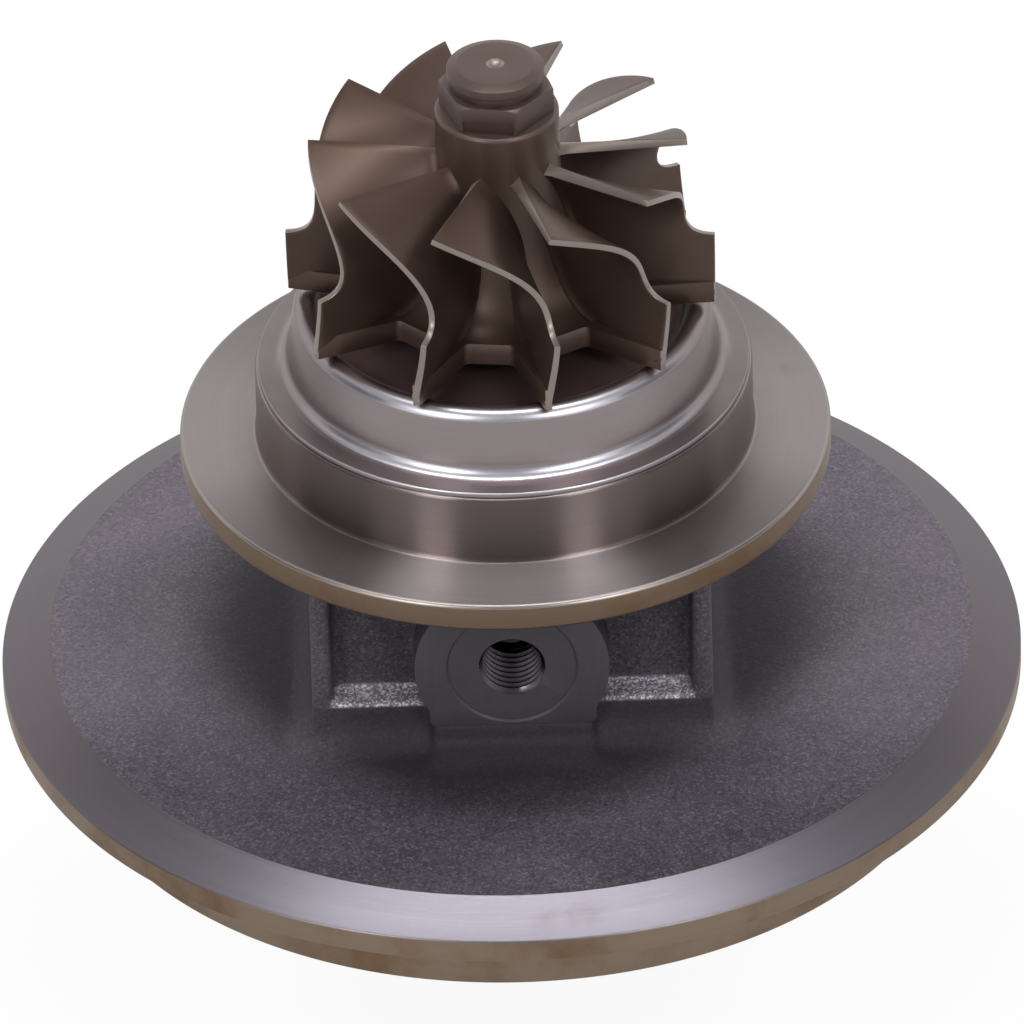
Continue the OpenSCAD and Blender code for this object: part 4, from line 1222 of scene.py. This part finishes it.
class CARTRIDGE_OT_turbine_wheel(Operator):
    """Cast the turbine wheel: flared hub, scalloped back disc, twisted blades and hexagonal nose"""

    bl_idname = "cartridge.turbine_wheel"
    bl_label = "Turbine wheel"

    def execute(self, context):
        w = context.scene.cartridge_turbine
        self.inducer = TURBINE_HIGH.x
        self.star_top = w.back + w.star_thickness
        self.outlet = w.back + w.blade_height
        self.core_disc = w.scallop_radius - 0.9 * MM
        self.flare = curve(
            [(self.core_disc, self.star_top - 0.05 * MM),
             (w.hub_radius + 3.5 * MM, self.star_top + 1.7 * MM),
             (w.hub_radius, self.star_top + 12 * MM), (w.hub_radius, self.outlet)], 40)
        pieces = [self.core(w), self.star(w), self.hexagon(w)]
        pieces += self.blades(w)
        piece = joined("turbine_wheel_cast", pieces)
        smooth(piece, WHEEL_SMOOTH_ANGLE)
        carry(piece, "rotor", "wheel_alloy", "turbine_wheel")
        return {"FINISHED"}

    def core(self, w):
        """The turned core from the weld to the cap, with a centre drilling."""
        hub_top = self.outlet + w.hub_rise
        neck_top = hub_top + w.hex_height + w.neck_height
        cap = TURBINE_HIGH.z
        drill_r = 1.6 * MM
        chamfer = 1.8 * MM
        outline = [
            Vector((0, TURBINE_LOW.z)), Vector((w.weld_radius, TURBINE_LOW.z)),
            Vector((w.weld_radius, w.back)), Vector((self.core_disc, w.back))]
        outline += self.flare
        outline += rounded([
            (w.hub_radius, self.outlet, 0), (w.hub_radius, hub_top, 0.7 * MM),
            (w.neck_radius, hub_top, 0.2 * MM), (w.neck_radius, neck_top, 0.3 * MM),
            (w.cap_radius, neck_top, 0.3 * MM), (w.cap_radius, cap - 0.6 * MM, 0.25 * MM),
            (w.cap_radius - chamfer, cap, 0.2 * MM), (drill_r, cap, 0.2 * MM),
            (0, cap - 1.5 * MM, 0)])[1:]
        piece = lathe("core", outline, 120, closed=False)

        def choice(centre, normal):
            # Painted highlight: the centre drilling takes the bright edge finish.
            if centre.z > cap - 2 * MM and reach(centre.x, centre.y) < drill_r:
                return "edge"
            return "nose" if centre.z > hub_top - MM else "wheel"

        return paint(piece, ["wheel", "edge", "nose"], choice)

    def star(self, w):
        """The scalloped back disc: arms under the blades, with flat floors between them."""
        pitch = TURN / w.blades
        floor = math.asin(w.scallop_width / 2 / w.scallop_radius)
        tip = math.asin(w.tip_thickness * 0.52 / self.inducer)
        corners = []
        for k in range(w.blades):
            arm = w.phase + w.lean * w.star_thickness / 2 / w.blade_height + k * pitch
            gap = arm + pitch / 2
            for radius, angle, rounding in (
                    (self.inducer, arm - tip, 0.2 * MM), (self.inducer, arm + tip, 0.2 * MM),
                    (w.scallop_radius, gap - floor, 1.2 * MM), (w.scallop_radius, gap + floor, 1.2 * MM)):
                corners.append((radius * math.cos(angle), radius * math.sin(angle), rounding))
        piece = plate(
            "star", rounded(corners), (0, 0, w.star_thickness), lambda x, y: Vector((x, y, w.back)))
        bevel(piece, 0.3 * MM)
        floor_end = w.scallop_radius + 0.8 * MM
        arm_end = self.inducer - 0.4 * MM

        def choice(centre, normal):
            out = reach(centre.x, centre.y)
            if abs(normal.z) > 0.9 or floor_end < out < arm_end:
                return "wheel"
            # Upward bevels take the bright edge finish as a painted highlight; the arm tips are ground.
            return "edge" if out > arm_end or normal.z > 0.2 else "scallop"

        return paint(piece, ["wheel", "edge", "scallop"], choice)

    def hexagon(self, w):
        """The nose hexagon, with a ground balancing notch in one flat."""
        low = self.outlet + w.hub_rise
        high = low + w.hex_height
        piece = hexagon_bar("hexagon", w.hex_radius, low - 2 * MM, high, w.hex_phase - TURN / 4)
        barrel = lathe("barrel", [
            (0, low - 3 * MM), (w.hex_radius + MM, low - 3 * MM), (w.hex_radius + MM, high - 1.1 * MM),
            (w.hex_radius - 0.9 * MM, high), (0, high)], 96, closed=False)
        cut(piece, barrel, "INTERSECT")
        half, depth, top = 4.4 * MM, 8.3 * MM, low + 2.2 * MM
        notch = block("notch", (-half, -14 * MM, low - 4 * MM), (half, -depth, top))
        settle(notch, Matrix.Rotation(math.radians(-10), 4, "Z"))
        cut(piece, notch)
        bevel(piece, 0.25 * MM, 25)
        return paint(piece, ["nose"])

    def blades(self, w):
        """All blades, each a copy of one."""
        root = [Vector(p) for p in (
            (self.inducer, w.back + w.star_thickness / 3),
            (w.hub_radius + 7 * MM, w.back + w.star_thickness / 2),
            (w.hub_radius - 2.5 * MM, w.back + 7.3 * MM),
            (w.hub_radius - 2.5 * MM, self.outlet - 1.6 * MM))]
        top = w.back + w.inducer_height
        waist = Vector((w.exducer_radius - 0.7 * MM, top + 5.7 * MM))
        bend = 0.36
        lower = [Vector(p) for p in (
            (self.inducer, top), (self.inducer - 3.6 * MM, top + 0.1 * MM),
            (waist.x, top + 1.4 * MM), waist)]
        upper = [Vector(p) for p in (
            waist, (waist.x, top + 9 * MM), (waist.x + 0.2 * MM, top + 14 * MM),
            (w.exducer_radius, self.outlet))]

        def meridian(s, t):
            tip = bezier(lower, s / bend) if s < bend else bezier(upper, (s - bend) / (1 - bend))
            return bezier(root, s).lerp(tip, t)

        def point(s, t):
            spot = meridian(s, t)
            v = (spot.y - w.back) / w.blade_height
            angle = w.phase + w.lean * v - w.twist * v**4 - w.hub_twist * (1 - t) * v * v
            return polar(spot.x, angle, spot.y)

        def gap(s, t):
            spot = meridian(s, t)
            near = nearest(self.flare, spot)
            return (spot - near).length if spot.x > near.x else 0.0

        first = blade(
            point, gap, 0.0, (56, 24), (w.root_thickness, w.tip_thickness), w.root_fillet,
            ("wheel", "edge"))
        return turned_copies(first, w.blades, TURN / w.blades)


class CARTRIDGE_OT_compressor_wheel(Operator):
    """Mill the compressor wheel: full blades and splitters on a flared hub"""

    bl_idname = "cartridge.compressor_wheel"
    bl_label = "Compressor wheel"

    def execute(self, context):
        w = context.scene.cartridge_impeller
        self.radius = IMPELLER_HIGH.x
        self.nose = IMPELLER_HIGH.z - IMPELLER_LOW.z
        self.flare = curve(
            [(self.radius, w.disc), (w.hub_radius + 10 * MM, w.disc + 1.2 * MM),
             (w.hub_radius + 0.6 * MM, 14 * MM), (w.hub_radius, self.nose - 0.6 * MM)], 48)
        pieces = [self.core(w)]
        pitch = TURN / w.blades
        for start, offset in ((0.0, 0.0), (w.splitter_start, pitch / 2)):
            first = self.blade(w, start)
            settle(first, Matrix.Rotation(offset, 4, "Z"))
            pieces += turned_copies(first, w.blades, pitch)
        piece = joined("compressor_wheel_milled", pieces)
        settle(piece, Matrix.Translation((0, 0, IMPELLER_HIGH.z)) @ Matrix.Rotation(TURN / 2, 4, "X"))
        smooth(piece, WHEEL_SMOOTH_ANGLE)
        carry(piece, "rotor", "light_alloy", "compressor_wheel")
        return {"FINISHED"}

    def core(self, w):
        """The hub with its back disc and shaft bore."""
        outline = [Vector((w.bore_radius, 0)), Vector((self.radius, 0))]
        outline += self.flare
        outline += [Vector((w.hub_radius - 0.6 * MM, self.nose)), Vector((w.bore_radius, self.nose))]
        return paint(lathe("hub", outline, 160), ["alloy", "alloy"])

    def blade(self, w, start):
        """One blade, drawn with the wheel's back down."""
        outlet = w.disc + w.outlet_height
        root = [Vector(p) for p in (
            (w.hub_radius - 1.5 * MM, self.nose - 2 * MM), (w.hub_radius - MM, 12 * MM),
            (w.hub_radius + 8 * MM, w.disc - 0.6 * MM), (self.radius - 0.6 * MM, w.disc - 0.9 * MM))]
        shroud = [Vector(p) for p in (
            (w.eye_radius, self.nose - 0.6 * MM), (w.eye_radius, outlet + 8.5 * MM),
            (w.eye_radius + 4 * MM, outlet + 0.9 * MM), (self.radius - 0.4 * MM, outlet))]

        def meridian(s, t):
            return bezier(root, s).lerp(bezier(shroud, s), t)

        def point(s, t):
            spot = meridian(s, t)
            angle = w.sweep * (0.72 * (1 - (1 - s) ** 2) + 0.28 * s * s)
            return polar(spot.x, angle, spot.y)

        def gap(s, t):
            spot = meridian(s, t)
            near = nearest(self.flare, spot)
            return (spot - near).length if spot.y > near.y else 0.0

        return blade(
            point, gap, start, (48, 18), (w.root_thickness, w.tip_thickness), w.root_fillet,
            ("alloy", "alloy"))


class CARTRIDGE_OT_locknut(Operator):
    """Turn the locknut with its round flange and twelve-point head"""

    bl_idname = "cartridge.locknut"
    bl_label = "Locknut"

    def execute(self, context):
        w = context.scene.cartridge_impeller
        low, high = NUT_LOW.z, NUT_HIGH.z
        piece = hexagon_bar("locknut", w.nut_radius, low, high - 0.2 * MM, 0)
        cut(piece, hexagon_bar("head", w.nut_radius, low, high - 0.2 * MM, TURN / 12), "UNION")
        wide = w.nut_radius + 0.4 * MM
        barrel = lathe("barrel", [
            (0, low), (w.nut_radius - 1.2 * MM, low), (wide, low + MM), (wide, high + MM), (0, high + MM)],
            72, closed=False)
        cut(piece, barrel, "INTERSECT")
        bevel(piece, 0.15 * MM, 25)
        rim = NUT_HIGH.x
        washer = lathe("washer", rounded([
            (0, high - w.nut_flange, 0), (rim, high - w.nut_flange, 0.5 * MM),
            (rim, high, 0.3 * MM), (0, high, 0)]), 96, closed=False)
        cut(piece, washer, "UNION")
        bore = lathe("bore", [
            (0, low - MM), (w.bore_radius, low - MM), (w.bore_radius, high + MM), (0, high + MM)],
            72, closed=False)
        cut(piece, bore)
        smooth(piece)
        paint(piece, ["steel"])
        carry(piece, "rotor", "shaft_steel", "compressor_locknut")
        return {"FINISHED"}


INNER_FINISHES = {
    "steel": (
        "rotor_shaft", "turbine_piston_ring", "compressor_piston_ring", "bearing_circlip_1",
        "bearing_circlip_2", "bearing_circlip_3", "bearing_circlip_4", "thrust_pin_left",
        "thrust_pin_right", "thrust_collar", "oil_slinger", "oil_baffle", "seal_plate_snap_ring"),
    "bronze": ("journal_bearing_turbine_end", "journal_bearing_compressor_end", "thrust_bearing"),
    "alloy": ("oil_seal_plate",),
    "rubber": ("seal_plate_o_ring",),
}


class CARTRIDGE_OT_inner_parts(Operator):
    """Give the bearings, seals and the shaft their finishes"""

    bl_idname = "cartridge.inner_parts"
    bl_label = "Inner parts"

    def execute(self, context):
        for name, nodes in INNER_FINISHES.items():
            for node in nodes:
                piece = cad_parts[node]
                piece.data.materials.clear()
                piece.data.materials.append(finish(name))
        return {"FINISHED"}


# Studio

VIEW_ELEVATION = math.radians(34.67)
VIEW_ROLL = math.radians(-1.6)
VIEW_TARGET = Vector((0.74 * MM, 0, 32.17 * MM))
VIEW_DISTANCE = 3.0
LENS = 600
SENSOR = 36
LIT_POINT = Vector((0, 0, 50 * MM))
FLOOR_SIZE = 20
FLOOR_GAP = 0.3 * MM
FLOOR_WHITE = 0.92
FLOOR_MIRRORED = 0.56
SKY_LIGHT = 0.36
SKY_MIRRORED = 0.84


def lamp(name, spot, width, height, watts):
    """A soft box that points at the object."""
    deselect()
    bpy.ops.object.light_add(type="AREA", location=spot)
    light = bpy.context.object
    light.name = name
    light.data.shape = "RECTANGLE"
    light.data.size = width
    light.data.size_y = height
    light.data.energy = watts
    light.rotation_euler = (LIT_POINT - Vector(spot)).to_track_quat("-Z", "Y").to_euler()
    return light


def card(name, spot, width, height, tone):
    """A grey card that faces the object and is seen only in reflections."""
    deselect()
    bpy.ops.mesh.primitive_plane_add(size=1)
    piece = named(name)
    turned = (LIT_POINT - Vector(spot)).to_track_quat("Z", "Y").to_matrix().to_4x4()
    settle(piece, Matrix.Translation(spot) @ turned @ Matrix.Diagonal((width, height, 1, 1)))
    f = Finish(name)
    grey = f.node("ShaderNodeEmission", inputs={"Color": (tone, tone, tone, 1)})
    f.node("ShaderNodeOutputMaterial", inputs={"Surface": grey})
    piece.data.materials.append(f.owner)
    for kind in ("camera", "diffuse", "transmission", "volume_scatter", "shadow"):
        setattr(piece, f"visible_{kind}", False)


class CARTRIDGE_OT_stage(Operator):
    """Set up the floor, the soft light and the camera"""

    bl_idname = "cartridge.stage"
    bl_label = "Stage"

    def execute(self, context):
        context.scene.view_settings.view_transform = "Standard"
        self.floor(context)
        self.world(context)
        self.camera(context)
        for name, side in (("left", -1), ("right", 1)):
            lamp(f"overhead_{name}", (0.22 * side, 0, 1.15), width=0.12, height=0.45, watts=1.8)
            lamp(f"key_{name}", (0.6 * side, -0.9, 0.85), width=0.3, height=0.5, watts=3.8)
            back = lamp(f"back_{name}", (0.8 * side, 0.6, 0.55), width=0.4, height=0.5, watts=8)
            back.visible_glossy = False
            card(f"{name}_card", (1.4 * side, -0.25, 0.6), width=1.1, height=1.0, tone=0.12)
        card("ceiling", (0, 0.1, 1.7), width=3.2, height=3.2, tone=0.28)
        card("front_card", (0, -1.35, 0.8), width=2.0, height=1.2, tone=0.2)
        return {"FINISHED"}

    def seen(self, f, plain, glossy):
        """A share for rays straight from the camera, another for reflections, and 0 for light."""
        straight = f.node("ShaderNodeLightPath", output="Is Camera Ray")
        clear = f.node("ShaderNodeLightPath", output="Is Transmission Ray")
        mirrored = f.node("ShaderNodeLightPath", output="Is Glossy Ray")
        return straight.math("MAXIMUM", clear) * plain + mirrored * glossy

    def floor(self, context):
        """A pale floor that looks white, keeps a faint shadow and is clear from below."""
        deselect()
        bpy.ops.mesh.primitive_plane_add(size=FLOOR_SIZE, location=(0, 0, CAD_BOX[0][2] - FLOOR_GAP))
        piece = named("floor")
        f = Finish("studio_floor")
        base = context.scene.cartridge_finishes.floor
        shade = f.node("ShaderNodeBsdfDiffuse", inputs={"Color": (*base, 1)})
        white = f.node("ShaderNodeEmission", inputs={"Color": self.seen(f, 1, FLOOR_MIRRORED)})
        share = self.seen(f, FLOOR_WHITE, FLOOR_WHITE)
        surface = f.node("ShaderNodeMixShader", inputs={0: share, 1: shade, 2: white})
        below = f.node("ShaderNodeNewGeometry", output="Backfacing")
        clear = f.node("ShaderNodeBsdfTransparent")
        surface = f.node("ShaderNodeMixShader", inputs={0: below, 1: surface, 2: clear})
        f.node("ShaderNodeOutputMaterial", inputs={"Surface": surface})
        piece.data.materials.append(f.owner)

    def world(self, context):
        """White where it is seen, softer as a light."""
        f = Finish("studio", "worlds")
        context.scene.world = f.owner
        level = SKY_LIGHT + self.seen(f, 1 - SKY_LIGHT, SKY_MIRRORED - SKY_LIGHT)
        sky = f.node("ShaderNodeBackground", inputs={"Color": level})
        f.node("ShaderNodeOutputWorld", inputs={"Surface": sky})

    def camera(self, context):
        """A long lens at the viewing angle."""
        back = Vector((0, -math.cos(VIEW_ELEVATION), math.sin(VIEW_ELEVATION)))
        up = Vector((0, math.sin(VIEW_ELEVATION), math.cos(VIEW_ELEVATION)))
        facing = Matrix((Vector((1, 0, 0)), up, back)).transposed()
        facing = (facing @ Matrix.Rotation(VIEW_ROLL, 3, "Z")).to_4x4()
        deselect()
        bpy.ops.object.camera_add()
        camera = bpy.context.object
        camera.matrix_world = Matrix.Translation(VIEW_TARGET + back * VIEW_DISTANCE) @ facing
        camera.data.lens = LENS
        camera.data.sensor_width = SENSOR
        camera.data.clip_end = 50
        context.scene.camera = camera


STEPS = (
    CARTRIDGE_OT_housing_disc, CARTRIDGE_OT_turbine_flange, CARTRIDGE_OT_housing_casting,
    CARTRIDGE_OT_oil_inlet, CARTRIDGE_OT_oil_drain, CARTRIDGE_OT_heat_shield, CARTRIDGE_OT_turbine_wheel,
    CARTRIDGE_OT_compressor_wheel, CARTRIDGE_OT_locknut, CARTRIDGE_OT_inner_parts, CARTRIDGE_OT_stage)


class CARTRIDGE_PT_panel(Panel):
    """Lists the pieces of the cartridge"""

    bl_label = "Turbo Cartridge"
    bl_idname = "CARTRIDGE_PT_panel"
    bl_space_type = "VIEW_3D"
    bl_region_type = "UI"
    bl_category = "Cartridge"

    def draw(self, context):
        for step in STEPS:
            self.layout.operator(step.bl_idname)
        for group in GROUPS:
            values = getattr(context.scene, group)
            box = self.layout.box()
            for key in values.bl_rna.properties.keys():
                if key not in ("rna_type", "name"):
                    box.prop(values, key)


GROUPS = {
    "cartridge_housing": HousingSizes,
    "cartridge_ports": PortSizes,
    "cartridge_shield": ShieldSizes,
    "cartridge_turbine": TurbineSizes,
    "cartridge_impeller": ImpellerSizes,
    "cartridge_finishes": Finishes,
}


def register():
    """Adds the classes and their values on the scene."""
    for kind in (*GROUPS.values(), *STEPS, CARTRIDGE_PT_panel):
        bpy.utils.register_class(kind)
    for name, kind in GROUPS.items():
        setattr(bpy.types.Scene, name, PointerProperty(type=kind))


def unregister():
    """Takes them away again."""
    for name in GROUPS:
        delattr(bpy.types.Scene, name)
    for kind in reversed((*GROUPS.values(), *STEPS, CARTRIDGE_PT_panel)):
        bpy.utils.unregister_class(kind)


def main():
    """Adds the size settings, models every piece and sets up the studio."""
    register()
    bpy.ops.cartridge.housing_disc()
    bpy.ops.cartridge.turbine_flange()
    bpy.ops.cartridge.housing_casting()
    bpy.ops.cartridge.oil_inlet()
    bpy.ops.cartridge.oil_drain()
    bpy.ops.cartridge.heat_shield()
    bpy.ops.cartridge.turbine_wheel()
    bpy.ops.cartridge.compressor_wheel()
    bpy.ops.cartridge.locknut()
    bpy.ops.cartridge.inner_parts()
    bpy.ops.cartridge.stage()


if __name__ == "__main__":
    main()
